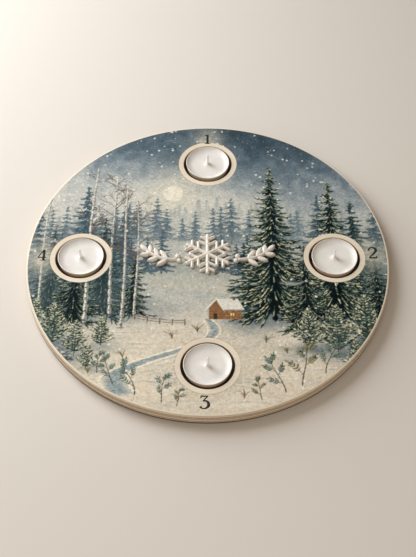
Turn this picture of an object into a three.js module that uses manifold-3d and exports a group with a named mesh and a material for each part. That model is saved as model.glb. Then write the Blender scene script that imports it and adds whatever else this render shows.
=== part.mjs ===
// Advent board: a flat round wooden board with four numbered tealight places and a raised snowflake
// between two sprigs. Units are millimetres, +Z is up, and the origin is the centre of the underside.
import * as THREE from "three";
import * as BufferGeometryUtils from "three/addons/utils/BufferGeometryUtils.js";
import Module from "manifold-3d";

const wasm = await Module();
wasm.setup();

// Board
const boardDiameter = 300;
const boardThickness = 12;
const topEdgeRadius = 1.2;
const bottomEdgeRadius = 1;
const boardSides = 96;

// Tealight places: blind round recesses on one circle, the first at the back, then clockwise from above
const placeCount = 4;
const placeCircleDiameter = 210;
const recessDiameter = 42.4;
const recessDepth = 9.5;
const recessMouthChamfer = 0.5;
const recessFloorZ = boardThickness - recessDepth;

// Tealight cup: drawn aluminium with a rolled lip
const cupHeight = 11.5;
const cupBaseRadius = 17.8;
const cupTopRadius = 18.4;
const cupWall = 0.375;
const cupCorner = 0.75;
const lipWidth = 0.5;
const lipHeight = 0.75;
const lipUndersideShare = 0.25;
const lipShoulderShare = 0.7;
const lipCrownShare = 0.4;

// Wax, wick and the wick's metal foot
const waxClearance = 0.3;
const waxBelowLip = 0.75;
const waxMeniscus = 0.25;
const waxMeniscusReach = 1.5;
const waxConeHeight = 1.5;
const waxConeRadius = 3;
const waxConeKneeRadius = 1.9;
const waxConeKneeShare = 0.25;
const waxConeTopWidth = 0.25;
const wickRadius = 1.1;
const wickTipRadius = 0.8;
const wickAboveWax = 10;
const wickPointHeight = 0.4;
const wickPointRadius = 0.4;
const footRadius = 7.5;
const footThickness = 0.375;
const neckRadius = 1.8;
const neckHeight = 4;
const boreClearance = 0.3;

// Raised ornament glued on the board
const ornamentHeight = 3;
const ornamentCentreY = 3;
const edgeRounding = 1.4;
const snowflakeRadius = 21;
const snowflakeArms = 6;
const armHalfWidth = 1.8;
const barbHalfWidth = 1.5;
const barbs = [
  { along: 0.42, length: 7.5 },
  { along: 0.7, length: 6 },
];
const barbAngle = Math.PI / 3;
const stemHalfWidth = 1.6;
const sprigStartX = 26.5;
const sprigEndX = 50;
const sprigStartY = -6;
const sprigEndY = 3;
const sprigBend = 3;
const leafPairs = [
  { along: 0.22, length: 10.5 },
  { along: 0.52, length: 9.5 },
  { along: 0.82, length: 8.5 },
];
const leafAngle = 0.78;
const leafHalfWidth = 2.4;
const tipLeafLength = 8.5;
const tipLeafRoot = 0.96;
const berryRadius = 2.4;
const berrySpots = [
  { x: -1.8, y: 3.6 },
  { x: -3, y: -1.2 },
];

// How finely the round shapes are divided
const roundSides = 32;
const footSides = 16;
const wickSides = 10;
const topEdgeSteps = 4;
const bottomEdgeSteps = 2;
const bevelSteps = 2;
const stemSteps = 8;
const leafStations = [-1, -0.6, 0, 0.6, 1];
const berrySides = 12;
const berryRings = 8;

const wood = new THREE.MeshStandardMaterial({ color: 0xd9c3a0, roughness: 0.6, metalness: 0 });
const aluminium = new THREE.MeshStandardMaterial({ color: 0xc9c5bd, roughness: 0.3, metalness: 1 });
const wax = new THREE.MeshStandardMaterial({ color: 0xf3efe9, roughness: 0.45, metalness: 0 });
const wickCotton = new THREE.MeshStandardMaterial({ color: 0xeae5da, roughness: 0.9, metalness: 0 });
const tinnedSteel = new THREE.MeshStandardMaterial({ color: 0xb4b2ae, roughness: 0.35, metalness: 1 });
const creamPaint = new THREE.MeshStandardMaterial({ color: 0xf1e8da, roughness: 0.55, metalness: 0 });

// A closed body with shared corners and no faces without area
function welded(geometry) {
  const bare = geometry.clone();
  for (const name of Object.keys(bare.attributes)) {
    if (name !== "position") bare.deleteAttribute(name);
  }
  const merged = BufferGeometryUtils.mergeVertices(bare, 1e-4);
  const index = merged.index.array;
  const kept = [];
  for (let i = 0; i < index.length; i += 3) {
    const [a, b, c] = [index[i], index[i + 1], index[i + 2]];
    if (a !== b && b !== c && c !== a) kept.push(a, b, c);
  }
  merged.setIndex(kept);
  return merged;
}

function solid(geometry) {
  const body = welded(geometry);
  return new wasm.Manifold(new wasm.Mesh({
    numProp: 3,
    vertProperties: Float32Array.from(body.attributes.position.array),
    triVerts: Uint32Array.from(body.index.array),
  }));
}

function geometryOf(manifold) {
  const mesh = manifold.getMesh();
  const geometry = new THREE.BufferGeometry();
  geometry.setAttribute("position", new THREE.BufferAttribute(Float32Array.from(mesh.vertProperties), 3));
  geometry.setIndex(Array.from(mesh.triVerts));
  return geometry;
}

// A profile of [radius, height] pairs turned round the vertical axis
function turned(profile, sides) {
  const points = profile.map(([r, z]) => new THREE.Vector2(r, z));
  return new THREE.LatheGeometry(points, sides).rotateX(Math.PI / 2);
}

// Points on an arc from one angle to another, both ends included
function arc(centreR, centreZ, radius, from, to, steps) {
  const points = [];
  for (let i = 0; i <= steps; i += 1) {
    const angle = from + (to - from) * i / steps;
    points.push([centreR + radius * Math.cos(angle), centreZ + radius * Math.sin(angle)]);
  }
  return points;
}

function placeAngle(number) {
  return Math.PI / 2 - (number - 1) * 2 * Math.PI / placeCount;
}

function placeCentre(number) {
  const angle = placeAngle(number);
  const radius = placeCircleDiameter / 2;
  return [radius * Math.cos(angle), radius * Math.sin(angle)];
}

// Board: a disc with rounded edges, less one recess for each tealight
function makeBoard() {
  const radius = boardDiameter / 2;
  const disc = turned([
    [0, 0],
    ...arc(radius - bottomEdgeRadius, bottomEdgeRadius, bottomEdgeRadius, -Math.PI / 2, 0, bottomEdgeSteps),
    ...arc(radius - topEdgeRadius, boardThickness - topEdgeRadius, topEdgeRadius, 0, Math.PI / 2, topEdgeSteps),
    [0, boardThickness],
  ], boardSides);
  const recessRadius = recessDiameter / 2;
  const above = 1;
  const cutter = turned([
    [0, recessFloorZ],
    [recessRadius, recessFloorZ],
    [recessRadius, boardThickness - recessMouthChamfer],
    [recessRadius + recessMouthChamfer + above, boardThickness + above],
    [0, boardThickness + above],
  ], roundSides);
  let board = solid(disc);
  for (let number = 1; number <= placeCount; number += 1) {
    const [x, y] = placeCentre(number);
    board = board.subtract(solid(cutter.clone().translate(x, y, 0)));
  }
  return geometryOf(board);
}

// Cup: a tapered shell with a flat floor and a lip rolled outwards; its underside is at z = 0
function makeCup() {
  const lipZ = cupHeight - lipHeight;
  return turned([
    [0, 0],
    [cupBaseRadius - cupCorner, 0],
    [cupBaseRadius, cupCorner],
    [cupTopRadius, lipZ],
    [cupTopRadius + lipWidth, lipZ + lipHeight * lipUndersideShare],
    [cupTopRadius + lipWidth, lipZ + lipHeight * lipShoulderShare],
    [cupTopRadius + lipWidth * lipCrownShare, cupHeight],
    [cupTopRadius - cupWall * lipCrownShare, cupHeight],
    [cupTopRadius - cupWall, lipZ],
    [cupBaseRadius - cupWall, cupCorner + cupWall / 2],
    [cupBaseRadius - cupCorner, cupWall],
    [0, cupWall],
  ], roundSides);
}

const waxTopZ = cupHeight - waxBelowLip;

// Wax: fills the cup, climbs a little at the wall and round the wick, and is hollow below for the foot
function makeWax() {
  const gap = waxClearance;
  const topRadius = cupTopRadius - cupWall - gap;
  const baseRadius = cupBaseRadius - cupWall - gap;
  const boreRadius = wickRadius + boreClearance;
  const pocketTopZ = cupWall + footThickness + gap;
  const neckPocketTopZ = cupWall + neckHeight + gap;
  return turned([
    [footRadius + gap, cupWall],
    [baseRadius - cupCorner, cupWall],
    [baseRadius, cupWall + cupCorner],
    [topRadius, waxTopZ],
    [topRadius - waxMeniscus, waxTopZ],
    [topRadius - waxMeniscusReach, waxTopZ - waxMeniscus],
    [waxConeRadius, waxTopZ - waxMeniscus],
    [waxConeKneeRadius, waxTopZ + waxConeHeight * waxConeKneeShare],
    [boreRadius + waxConeTopWidth, waxTopZ + waxConeHeight],
    [boreRadius, waxTopZ + waxConeHeight],
    [boreRadius, neckPocketTopZ],
    [neckRadius + gap, neckPocketTopZ],
    [neckRadius + gap, pocketTopZ],
    [footRadius + gap, pocketTopZ],
    [footRadius + gap, cupWall],
  ], roundSides);
}

// Wick: a cotton cord that stands on the cup's floor inside the foot's neck
function makeWick() {
  return turned([
    [0, cupWall],
    [wickRadius, cupWall],
    [wickRadius, waxTopZ + waxConeHeight],
    [wickTipRadius, waxTopZ + wickAboveWax - wickPointHeight],
    [wickPointRadius, waxTopZ + wickAboveWax],
    [0, waxTopZ + wickAboveWax],
  ], wickSides);
}

// Foot: a flat disc with a neck that holds the wick
function makeFoot() {
  const boreRadius = wickRadius + boreClearance;
  const discTopZ = cupWall + footThickness;
  return turned([
    [boreRadius, cupWall],
    [footRadius, cupWall],
    [footRadius, discTopZ],
    [neckRadius, discTopZ],
    [neckRadius, cupWall + neckHeight],
    [boreRadius, cupWall + neckHeight],
    [boreRadius, cupWall],
  ], footSides);
}

// A flat outline raised from the board to the ornament's height, its upper edge rounded. The outline
// is drawn inside the finished one by the rounding, which the bevel gives back.
function raised(outline) {
  const shape = new THREE.Shape(outline);
  const straight = ornamentHeight - edgeRounding;
  return solid(new THREE.ExtrudeGeometry(shape, {
    depth: straight,
    bevelEnabled: true,
    bevelThickness: edgeRounding,
    bevelSize: edgeRounding,
    bevelSegments: bevelSteps,
    steps: 1,
  }).translate(0, 0, boardThickness));
}

// A stroke's outline along a curve: one side out, a half-round tip, and the other side back
function strokeOutline(curve, halfWidth, steps) {
  const inner = halfWidth - edgeRounding;
  const left = [];
  const right = [];
  for (let i = 0; i <= steps; i += 1) {
    const point = curve.getPoint(i / steps);
    const along = curve.getTangent(i / steps);
    const across = new THREE.Vector2(-along.y, along.x).multiplyScalar(inner);
    left.push(point.clone().add(across));
    right.push(point.clone().sub(across));
  }
  return [...right, ...left.reverse()];
}

// A leaf's outline: a pointed lens from its root to its tip
function leafOutline(root, angle, length) {
  const inner = leafHalfWidth - edgeRounding;
  const bulge = (s) => inner * (1 - s * s);
  const lower = leafStations.map((s) => [length * (s + 1) / 2, -bulge(s)]);
  const upper = leafStations.slice(1, -1).reverse().map((s) => [length * (s + 1) / 2, bulge(s)]);
  const turn = (x, y) => new THREE.Vector2(
    root.x + x * Math.cos(angle) - y * Math.sin(angle),
    root.y + x * Math.sin(angle) + y * Math.cos(angle),
  );
  return [...lower, ...upper].map(([x, y]) => turn(x, y));
}

// The raised pieces as one body, cut flat where they lie on the board
function glued(pieces) {
  const body = pieces.reduce((all, piece) => all.add(piece));
  const reach = boardDiameter;
  const below = new THREE.BoxGeometry(reach, reach, reach).translate(0, 0, boardThickness - reach / 2);
  return geometryOf(body.subtract(solid(below)));
}

function straightStroke(from, to, halfWidth) {
  return raised(strokeOutline(new THREE.LineCurve(from, to), halfWidth, 1));
}

function makeSnowflake() {
  const centre = new THREE.Vector2(0, ornamentCentreY);
  const ray = (angle, length) => new THREE.Vector2(Math.cos(angle), Math.sin(angle)).multiplyScalar(length);
  const pieces = [];
  for (let arm = 0; arm < snowflakeArms; arm += 1) {
    const angle = Math.PI / 2 + arm * 2 * Math.PI / snowflakeArms;
    const reach = snowflakeRadius - edgeRounding;
    pieces.push(straightStroke(centre, centre.clone().add(ray(angle, reach)), armHalfWidth));
    for (const { along, length } of barbs) {
      const root = centre.clone().add(ray(angle, along * snowflakeRadius));
      for (const side of [-1, 1]) {
        const tip = root.clone().add(ray(angle + side * barbAngle, length));
        pieces.push(straightStroke(root, tip, barbHalfWidth));
      }
    }
  }
  return glued(pieces);
}

// A sprig on one side of the snowflake: a bent stem with paired leaves, a tip leaf and two berries
function makeSprig(side) {
  const spot = (x, y) => new THREE.Vector2(side * x, ornamentCentreY + y);
  const middle = (sprigStartX + sprigEndX) / 2;
  const stem = new THREE.QuadraticBezierCurve(
    spot(sprigStartX, sprigStartY),
    spot(middle + sprigBend, sprigStartY),
    spot(sprigEndX, sprigEndY),
  );
  const pieces = [raised(strokeOutline(stem, stemHalfWidth, stemSteps))];
  for (const { along, length } of leafPairs) {
    const root = stem.getPoint(along);
    const heading = stem.getTangent(along).angle();
    for (const turn of [-1, 1]) {
      pieces.push(raised(leafOutline(root, heading + turn * leafAngle, length)));
    }
  }
  const tipHeading = stem.getTangent(1).angle();
  pieces.push(raised(leafOutline(stem.getPoint(tipLeafRoot), tipHeading, tipLeafLength)));
  for (const { x, y } of berrySpots) {
    const berry = new THREE.SphereGeometry(berryRadius, berrySides, berryRings).rotateX(Math.PI / 2);
    const centre = spot(sprigStartX + x, sprigStartY + y);
    pieces.push(solid(berry.translate(centre.x, centre.y, boardThickness)));
  }
  return glued(pieces);
}

function named(name, geometry, material) {
  const mesh = new THREE.Mesh(geometry, material.clone());
  mesh.name = name;
  return mesh;
}

const adventBoard = new THREE.Group();
adventBoard.add(named("board", makeBoard(), wood));
for (let number = 1; number <= placeCount; number += 1) {
  const [x, y] = placeCentre(number);
  const tealight = new THREE.Group();
  tealight.position.set(x, y, recessFloorZ);
  tealight.add(named(`cup_${number}`, makeCup(), aluminium));
  tealight.add(named(`wax_${number}`, makeWax(), wax));
  tealight.add(named(`wick_${number}`, makeWick(), wickCotton));
  tealight.add(named(`wick_foot_${number}`, makeFoot(), tinnedSteel));
  adventBoard.add(tealight);
}
adventBoard.add(named("snowflake", makeSnowflake(), creamPaint));
adventBoard.add(named("sprig_left", makeSprig(-1), creamPaint));
adventBoard.add(named("sprig_right", makeSprig(1), creamPaint));

export default adventBoard;
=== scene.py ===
"""Advent board: a round plywood board with a printed winter wood, four tealights in numbered places and
a raised snowflake between two sprigs. Lengths inside the makers are millimetres and meshes are metres."""

import math
from contextlib import contextmanager

import bmesh
import bpy
import numpy as np
from bpy.props import FloatProperty, FloatVectorProperty, IntProperty, PointerProperty
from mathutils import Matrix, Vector


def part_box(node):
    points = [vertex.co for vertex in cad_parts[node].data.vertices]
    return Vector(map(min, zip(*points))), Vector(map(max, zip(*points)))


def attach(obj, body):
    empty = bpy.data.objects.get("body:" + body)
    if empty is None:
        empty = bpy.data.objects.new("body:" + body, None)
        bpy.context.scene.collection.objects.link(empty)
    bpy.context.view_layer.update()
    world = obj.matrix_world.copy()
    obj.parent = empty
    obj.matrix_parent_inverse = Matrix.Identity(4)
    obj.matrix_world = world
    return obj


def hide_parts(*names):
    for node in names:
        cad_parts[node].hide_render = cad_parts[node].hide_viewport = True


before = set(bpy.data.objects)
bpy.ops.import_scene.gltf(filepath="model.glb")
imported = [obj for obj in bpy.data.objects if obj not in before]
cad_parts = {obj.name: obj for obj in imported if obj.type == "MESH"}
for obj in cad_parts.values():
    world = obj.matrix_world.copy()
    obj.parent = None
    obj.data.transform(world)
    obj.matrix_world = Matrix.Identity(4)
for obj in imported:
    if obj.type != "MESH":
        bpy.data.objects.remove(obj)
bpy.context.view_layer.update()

bl_info = {
    "name": "Advent board",
    "version": (1, 0, 0),
    "blender": (4, 5, 0),
    "location": "View3D > Sidebar > Advent board",
    "description": "Makes a printed round advent board with tealights and a raised snowflake",
    "category": "Object",
}

MM = 0.001
BODY = "root"
PLACES = (1, 2, 3, 4)


# Places and sizes that come from the frame

def cad_box(node):
    """A node's lowest and highest corners in millimetres."""
    low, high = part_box(node)
    return np.array(low) / MM, np.array(high) / MM


BOARD_HIGH = cad_box("board")[1]
CUP_LOW, CUP_HIGH = cad_box("cup_2")
FLAKE_LOW, FLAKE_HIGH = cad_box("snowflake")
BOARD_RADIUS = float(BOARD_HIGH[0])
BOARD_TOP = float(BOARD_HIGH[2])
PLACE_RADIUS = float(CUP_LOW[0] + CUP_HIGH[0]) / 2
LIP_RADIUS = float(CUP_HIGH[0] - CUP_LOW[0]) / 2
RECESS_FLOOR = float(CUP_LOW[2])
CUP_TOP = float(CUP_HIGH[2])
CUP_HEIGHT = CUP_TOP - RECESS_FLOOR
WICK_TIP = float(cad_box("wick_2")[1][2])
WAX_BASE = float(cad_box("wax_2")[0][2])
ORNAMENT_HEIGHT = float(FLAKE_HIGH[2]) - BOARD_TOP
ORNAMENT_Y = float(FLAKE_LOW[1] + FLAKE_HIGH[1]) / 2


def ray(angle):
    """The unit vector at an angle, or one row for each of several angles."""
    return np.stack([np.cos(angle), np.sin(angle)], axis=-1)


def place_angle(number):
    """The first place is at the back, and the others follow clockwise from above."""
    return math.pi / 2 - (number - 1) * math.pi / 2


def place_centre(number):
    return PLACE_RADIUS * ray(place_angle(number))


# Settings that a user would change

def length_setting(label, text, default, low, high):
    text = f"{text}, in millimetres"
    return FloatProperty(name=label, description=text, default=default, min=low, max=high)


def colour_setting(label, text, default):
    return FloatVectorProperty(name=label, description=text, default=default, min=0, max=1, size=3,
                               subtype="COLOR")


class BoardSettings(bpy.types.PropertyGroup):
    """Sizes and colours of the wooden board"""
    edge_rounding: length_setting("Edge rounding", "Radius of the upper edge", 1.2, 0.5, 4)
    foot_rounding: length_setting("Foot rounding", "Radius of the lower edge", 1.8, 0.2, 3)
    recess_diameter: length_setting("Recess", "Width of a tealight's recess", 42.4, 40, 46)
    ring_diameter: length_setting("Bare ring", "Width of the bare ring round it", 51, 46, 60)
    mouth_rounding: length_setting("Mouth rounding", "Radius of a recess's edge", 0.35, 0.2, 1)
    plies: IntProperty(name="Plies", description="Layers in the plywood", default=5, min=3, max=13)
    wood: colour_setting("Wood", "Colour of the bare wood", (0.76, 0.62, 0.46))
    veneer: colour_setting("Veneer", "Colour of the bare face", (0.90, 0.79, 0.64))
    glue_line: colour_setting("Glue line", "Colour between the plies", (0.22, 0.13, 0.075))


class PrintSettings(bpy.types.PropertyGroup):
    """How the winter wood is painted"""
    grain: length_setting("Mesh step", "Distance between coloured points", 0.45, 0.3, 3)
    film: length_setting("Ink film", "Thickness of the print", 0.03, 0.01, 0.2)
    seed: IntProperty(name="Seed", description="Number that starts every random draw", default=24, min=0)
    ink: colour_setting("Number ink", "Colour of the printed numbers", (0.018, 0.022, 0.016))


class OrnamentSettings(bpy.types.PropertyGroup):
    """The raised snowflake and sprigs"""
    step: length_setting("Mesh step", "Distance between surface points", 0.21, 0.1, 1)
    rounding: length_setting("Rounding", "Width of the rounded edge", 1.7, 0.4, 2.5)
    paint: colour_setting("Paint", "Cream white of the raised pieces", (0.88, 0.83, 0.75))


class TealightSettings(bpy.types.PropertyGroup):
    """Finish of the four tealights"""
    wax: colour_setting("Wax", "Colour of the wax", (0.90, 0.87, 0.83))
    aluminium: colour_setting("Aluminium", "Colour of the cup", (0.97, 0.91, 0.82))
    sides: IntProperty(name="Sides", description="Faces round a tealight", default=128, min=32, max=256)


class StageSettings(bpy.types.PropertyGroup):
    """Floor, light and camera"""
    floor: colour_setting("Floor", "Colour of the plain floor", (0.80, 0.75, 0.69))
    pitch: FloatProperty(name="Camera pitch", description="How far the camera looks down", subtype="ANGLE",
                         default=math.radians(53.4))
    distance: length_setting("Camera distance", "From the aim point", 887, 200, 3000)
    lens: length_setting("Lens", "Focal length on a 36 mm long side", 70.2, 20, 200)


# Mesh building

def placed(name, data):
    """An object for a mesh, a lamp or a camera, linked to the scene."""
    thing = bpy.data.objects.new(name, data)
    bpy.context.scene.collection.objects.link(thing)
    return thing


@contextmanager
def edited(piece):
    """The piece's mesh opened for edits, which are written back at the end."""
    body = bmesh.new()
    body.from_mesh(piece.data)
    yield body
    body.to_mesh(piece.data)
    body.free()


def new_piece(name, points, faces, material, replaces=()):
    """A smooth piece from points in millimetres and faces of four (or three) corners. Doubled seams are
    merged, and the piece rides on the one body."""
    mesh = bpy.data.meshes.new(name)
    mesh.from_pydata((np.asarray(points, float) * MM).tolist(), [], faces.tolist())
    mesh.materials.append(material)
    piece = placed(name, mesh)
    with edited(piece) as body:
        bmesh.ops.remove_doubles(body, verts=body.verts, dist=1e-7)
        bmesh.ops.dissolve_degenerate(body, dist=1e-8, edges=body.edges)
    mesh.shade_smooth()
    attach(piece, BODY)
    if replaces:
        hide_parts(*replaces)
    return piece


def closed_piece(name, grids, material, replaces=()):
    """A piece from grids that close into one or more solids, with its faces turned outwards."""
    points, faces = joined(grids)
    with edited(new_piece(name, points, faces, material, replaces)) as body:
        bmesh.ops.recalc_face_normals(body, faces=body.faces)


def grid_faces(index):
    """The four corners of each square in a grid of point numbers."""
    return np.stack([index[:-1, :-1], index[:-1, 1:], index[1:, 1:], index[1:, :-1]], axis=-1)


def joined(grids):
    """Several grids of points, each (rows, columns, 3) with its last column joined to its first, as one list
    of points and faces."""
    points, faces, start = [], [], 0
    for grid in grids:
        rows, columns = grid.shape[:2]
        index = np.arange(start, start + rows * columns).reshape(rows, columns)
        index = np.concatenate([index, index[:, :1]], axis=1)
        points.append(grid.reshape(-1, 3))
        faces.append(grid_faces(index).reshape(-1, 4))
        start += rows * columns
    return np.concatenate(points), np.concatenate(faces)


def at_height(flat, z):
    """Flat places with a height added: one for all, or one for each."""
    z = np.broadcast_to(np.asarray(z, float)[..., None], (*flat.shape[:-1], 1))
    return np.concatenate([flat, z], axis=-1)


def turned(profile, sides, centre=(0, 0)):
    """A profile of (radius, height) pairs, from below outwards and up, carried round an upright axis."""
    radius, height = np.asarray(profile, float).T[..., None]
    around = ray(np.linspace(0, 2 * np.pi, sides, endpoint=False))
    return at_height(np.asarray(centre) + radius[..., None] * around, height)


def capped(grid):
    """A tube with closed ends: its first and last rings are repeated, shrunk to their middles."""
    sides = grid.shape[1]
    first, last = [ring.mean(axis=1, keepdims=True).repeat(sides, axis=1) for ring in (grid[:1], grid[-1:])]
    return np.concatenate([first, grid, last])


def fillet(radius, height, bend, start, end, steps):
    """Points on an arc about (radius, height), between two angles in degrees."""
    return np.array([radius, height]) + bend * ray(np.radians(np.linspace(start, end, steps)))


# Node materials

class Nodes:
    """A short way to write a material's nodes."""

    def __init__(self, name):
        self.material = bpy.data.materials.new(name)
        self.material.use_nodes = True
        self.tree = self.material.node_tree
        self.shader = self.tree.nodes["Principled BSDF"]
        self.coords = self.tree.nodes.new("ShaderNodeTexCoord").outputs["Object"]

    def add(self, kind, inputs=None, **values):
        node = self.tree.nodes.new(f"ShaderNode{kind}")
        for key, value in values.items():
            setattr(node, key, value)
        for key, value in (inputs or {}).items():
            self.put(node.inputs[key], value)
        return node

    def put(self, socket, value):
        """Link an output to a socket, or set its value; a colour triple is made opaque."""
        if isinstance(value, bpy.types.NodeSocket):
            self.tree.links.new(value, socket)
        elif socket.type == "RGBA":
            socket.default_value = (*value, 1)
        else:
            socket.default_value = value

    def math(self, operation, first, second=0.0):
        return self.add("Math", {0: first, 1: second}, operation=operation).outputs[0]

    def height(self, vector=None):
        """The height of the object coordinates or of another vector."""
        return self.add("SeparateXYZ", {"Vector": vector or self.coords}).outputs["Z"]

    def noise(self, scale, detail=4.0, roughness=0.55, vector=None):
        inputs = {"Vector": vector or self.coords, "Scale": scale, "Detail": detail, "Roughness": roughness}
        return self.add("TexNoise", inputs).outputs["Fac"]

    def stretched(self, scale):
        """Object coordinates scaled by a triple."""
        return self.add("Mapping", {"Vector": self.coords, "Scale": scale}).outputs["Vector"]

    def fibres(self, scale, detail, roughness):
        """Noise that is drawn out by a triple of scales."""
        return self.noise(1.0, detail, roughness, self.stretched(scale))

    def ramp(self, value, stops):
        """A colour ramp; a stop's colour is a triple or one number for a grey."""
        node = self.add("ValToRGB", {"Fac": value})
        elements = node.color_ramp.elements
        while len(elements) < len(stops):
            elements.new(0.5)
        for element, (place, colour) in zip(elements, stops):
            element.position = place
            element.color = (*colour, 1) if isinstance(colour, tuple) else (colour, colour, colour, 1)
        return node.outputs["Color"]

    def fade(self, value, first, second, low=0.3, high=0.7):
        """A ramp of two stops."""
        return self.ramp(value, [(low, first), (high, second)])

    def mix(self, share, first, second, blend="MIX"):
        """Two colours mixed. A Mix node's colour form has its sockets at 0, 6 and 7, and its result at 2."""
        node = self.add("Mix", data_type="RGBA", blend_type=blend)
        for number, value in zip((0, 6, 7), (share, first, second)):
            self.put(node.inputs[number], value)
        return node.outputs[2]

    def bump(self, height, strength, distance):
        inputs = {"Height": height, "Strength": strength, "Distance": distance}
        self.put(self.shader.inputs["Normal"], self.add("Bump", inputs).outputs["Normal"])

    def set(self, **sockets):
        for name, value in sockets.items():
            self.put(self.shader.inputs[name.replace("_", " ")], value)


def shade(colour, factor):
    return tuple(min(c * factor, 1) for c in colour)


def wood_material(settings):
    """Bare plywood: fine straight grain on the faces, and plies and glue lines on the edge by height. Painted
    shade: the edge is darker at the foot for the contact shadow on the floor, and the recess walls are darker
    for the shade in the gap round each cup."""
    n = Nodes("birch_plywood")
    wood, veneer = tuple(settings.wood), tuple(settings.veneer)
    fibres = n.fibres((60, 900, 200), 6, 0.6)
    broad = n.fibres((12, 70, 40), 3, 0.5)
    face = n.ramp(fibres, [(0.25, shade(veneer, 0.86)), (0.55, veneer), (0.8, shade(veneer, 1.06))])
    face = n.mix(0.35, face, n.fade(broad, shade(veneer, 0.84), shade(veneer, 1.06)))
    height = n.height()
    wobble = n.math("MULTIPLY", n.math("SUBTRACT", n.noise(45, 2), 0.5), 0.4 * MM)
    level = n.math("MULTIPLY", n.math("ADD", height, wobble), settings.plies / (BOARD_TOP * MM))
    crosswise = n.math("MODULO", n.math("FLOOR", level), 2.0)
    end_grain = n.fibres((700, 700, 240), 4, 0.7)
    along = n.fade(end_grain, shade(wood, 0.94), shade(wood, 1.14))
    across = n.fade(end_grain, shade(wood, 0.62), shade(wood, 0.88), 0.35, 0.65)
    seam = n.ramp(n.math("FRACT", level), [(0.08, 1), (0.16, 0), (0.84, 0), (0.92, 1)])
    edge = n.mix(n.math("MULTIPLY", seam, 0.75), n.mix(crosswise, along, across), tuple(settings.glue_line))
    # Painted shade: the lowest part of the edge is darkened to stand in for the contact shadow where the
    # board meets the floor.
    foot = n.fade(n.math("DIVIDE", height, BOARD_TOP * MM), 0.97, 0, 0.2, 0.28)
    edge = n.mix(foot, edge, shade(settings.glue_line, 0.3))
    upright = n.math("ABSOLUTE", n.height(n.add("NewGeometry").outputs["Normal"]))
    colour = n.mix(n.fade(upright, 1, 0, 0.6, 0.92), face, edge)
    # Painted shade: recess walls more than 0.7 mm below the top are darkened to stand in for the shade in the
    # gap round each cup.
    from_middle = n.add("VectorMath", {0: n.stretched((1, 1, 0))}, operation="LENGTH").outputs["Value"]
    inner = n.math("LESS_THAN", from_middle, (BOARD_RADIUS - 5) * MM)
    painted_recess_shade = n.math("MULTIPLY", inner, n.math("LESS_THAN", height, (BOARD_TOP - 0.7) * MM))
    colour = n.mix(n.math("MULTIPLY", painted_recess_shade, 0.8), colour, shade(settings.glue_line, 0.4))
    n.set(Base_Color=colour, Roughness=n.fade(fibres, 0.5, 0.64, 0.2, 0.8), Specular_IOR_Level=0.35)
    n.bump(n.math("ADD", fibres, n.math("MULTIPLY", seam, -0.6)), 0.25, 0.12 * MM)
    return n.material


def print_material():
    """Matt ink: the painted colours of the mesh, broken by grain of three sizes and a hint of wood below."""
    n = Nodes("printed_ink")
    paint = n.add("Attribute", attribute_name="paint", attribute_type="GEOMETRY").outputs["Color"]
    grain = n.noise(1500, 3, 0.7)
    blots = n.noise(230, 4, 0.6)
    specks = n.noise(640, 2, 0.5)
    for share, layer, spread in ((0.2, grain, 0.2), (0.26, specks, 0.16), (0.14, blots, 0.15)):
        tones = n.fade(layer, 0.26, 0.76, 0.5 - spread, 0.5 + spread)
        paint = n.mix(share, paint, tones, "OVERLAY")
    n.set(Base_Color=paint, Roughness=n.fade(blots, 0.50, 0.62), Specular_IOR_Level=0.07)
    n.bump(n.math("ADD", grain, n.fibres((90, 1100, 100), 4, 0.6)), 0.18, 0.08 * MM)
    return n.material


def ink_material(settings):
    """Dark green-black ink of the numbers, a little uneven."""
    n = Nodes("number_ink")
    ink = tuple(settings.ink)
    n.set(Base_Color=n.fade(n.noise(900, 4, 0.7), ink, shade(ink, 2.1), 0.3, 0.8))
    n.set(Roughness=n.fade(n.noise(600), 0.5, 0.65), Specular_IOR_Level=0.15)
    n.bump(n.noise(1600), 0.15, 0.05 * MM)
    return n.material


def cream_material(settings):
    """Cream satin paint over sanded wood, with faint brush marks. Painted shade makes it warm brown low on
    each raised shape, darkest where it meets the board.
    """
    n = Nodes("cream_paint")
    paint = tuple(settings.paint)
    brush = n.fibres((160, 420, 200), 4, 0.6)
    colour = n.fade(brush, shade(paint, 0.95), shade(paint, 1.03))
    # Painted shade: the lower sides of the raised shapes are mixed towards brown, most at the board, to stand
    # in for their shaded sides.
    rise = n.math("DIVIDE", n.math("SUBTRACT", n.height(), BOARD_TOP * MM), ORNAMENT_HEIGHT * MM)
    painted_base_shade = n.fade(rise, 0.75, 0, 0.0, 0.55)
    n.set(Base_Color=n.mix(painted_base_shade, colour, (0.60, 0.47, 0.33)), Roughness=n.fade(brush, 0.38, 0.5))
    n.bump(brush, 0.2, 0.15 * MM)
    return n.material


def aluminium_material(settings):
    """Drawn aluminium, a little dulled: fine upright draw lines and soft shallow dents. Below the lip, a
    painted reflection gives the wall the wood's warm tone, and painted shade darkens it where the gap round
    the cup gets deep."""
    n = Nodes("drawn_aluminium")
    lines = n.fibres((420, 420, 40), 3, 0.5)
    height = n.math("DIVIDE", n.height(), CUP_TOP * MM)
    # Painted light on the cup's wall: a warm tone for the wood reflected just below the lip, and near black
    # deep in the gap for its shade.
    painted_reflection_and_shade = ((5.6, (0.10, 0.07, 0.045)), (4.5, (0.98, 0.74, 0.50)), (1.1, (1.0, 0.80, 0.58)),
                 (0.6, tuple(settings.aluminium)))
    tone = n.ramp(height, [(1 - depth / CUP_TOP, colour) for depth, colour in painted_reflection_and_shade])
    n.set(Base_Color=n.mix(1.0, tone, n.fade(lines, 0.93, 1), "MULTIPLY"), Metallic=0.12)
    n.set(Roughness=n.fade(lines, 0.42, 0.52))
    n.bump(n.noise(90, 2), 0.08, 0.2 * MM)
    return n.material


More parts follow.
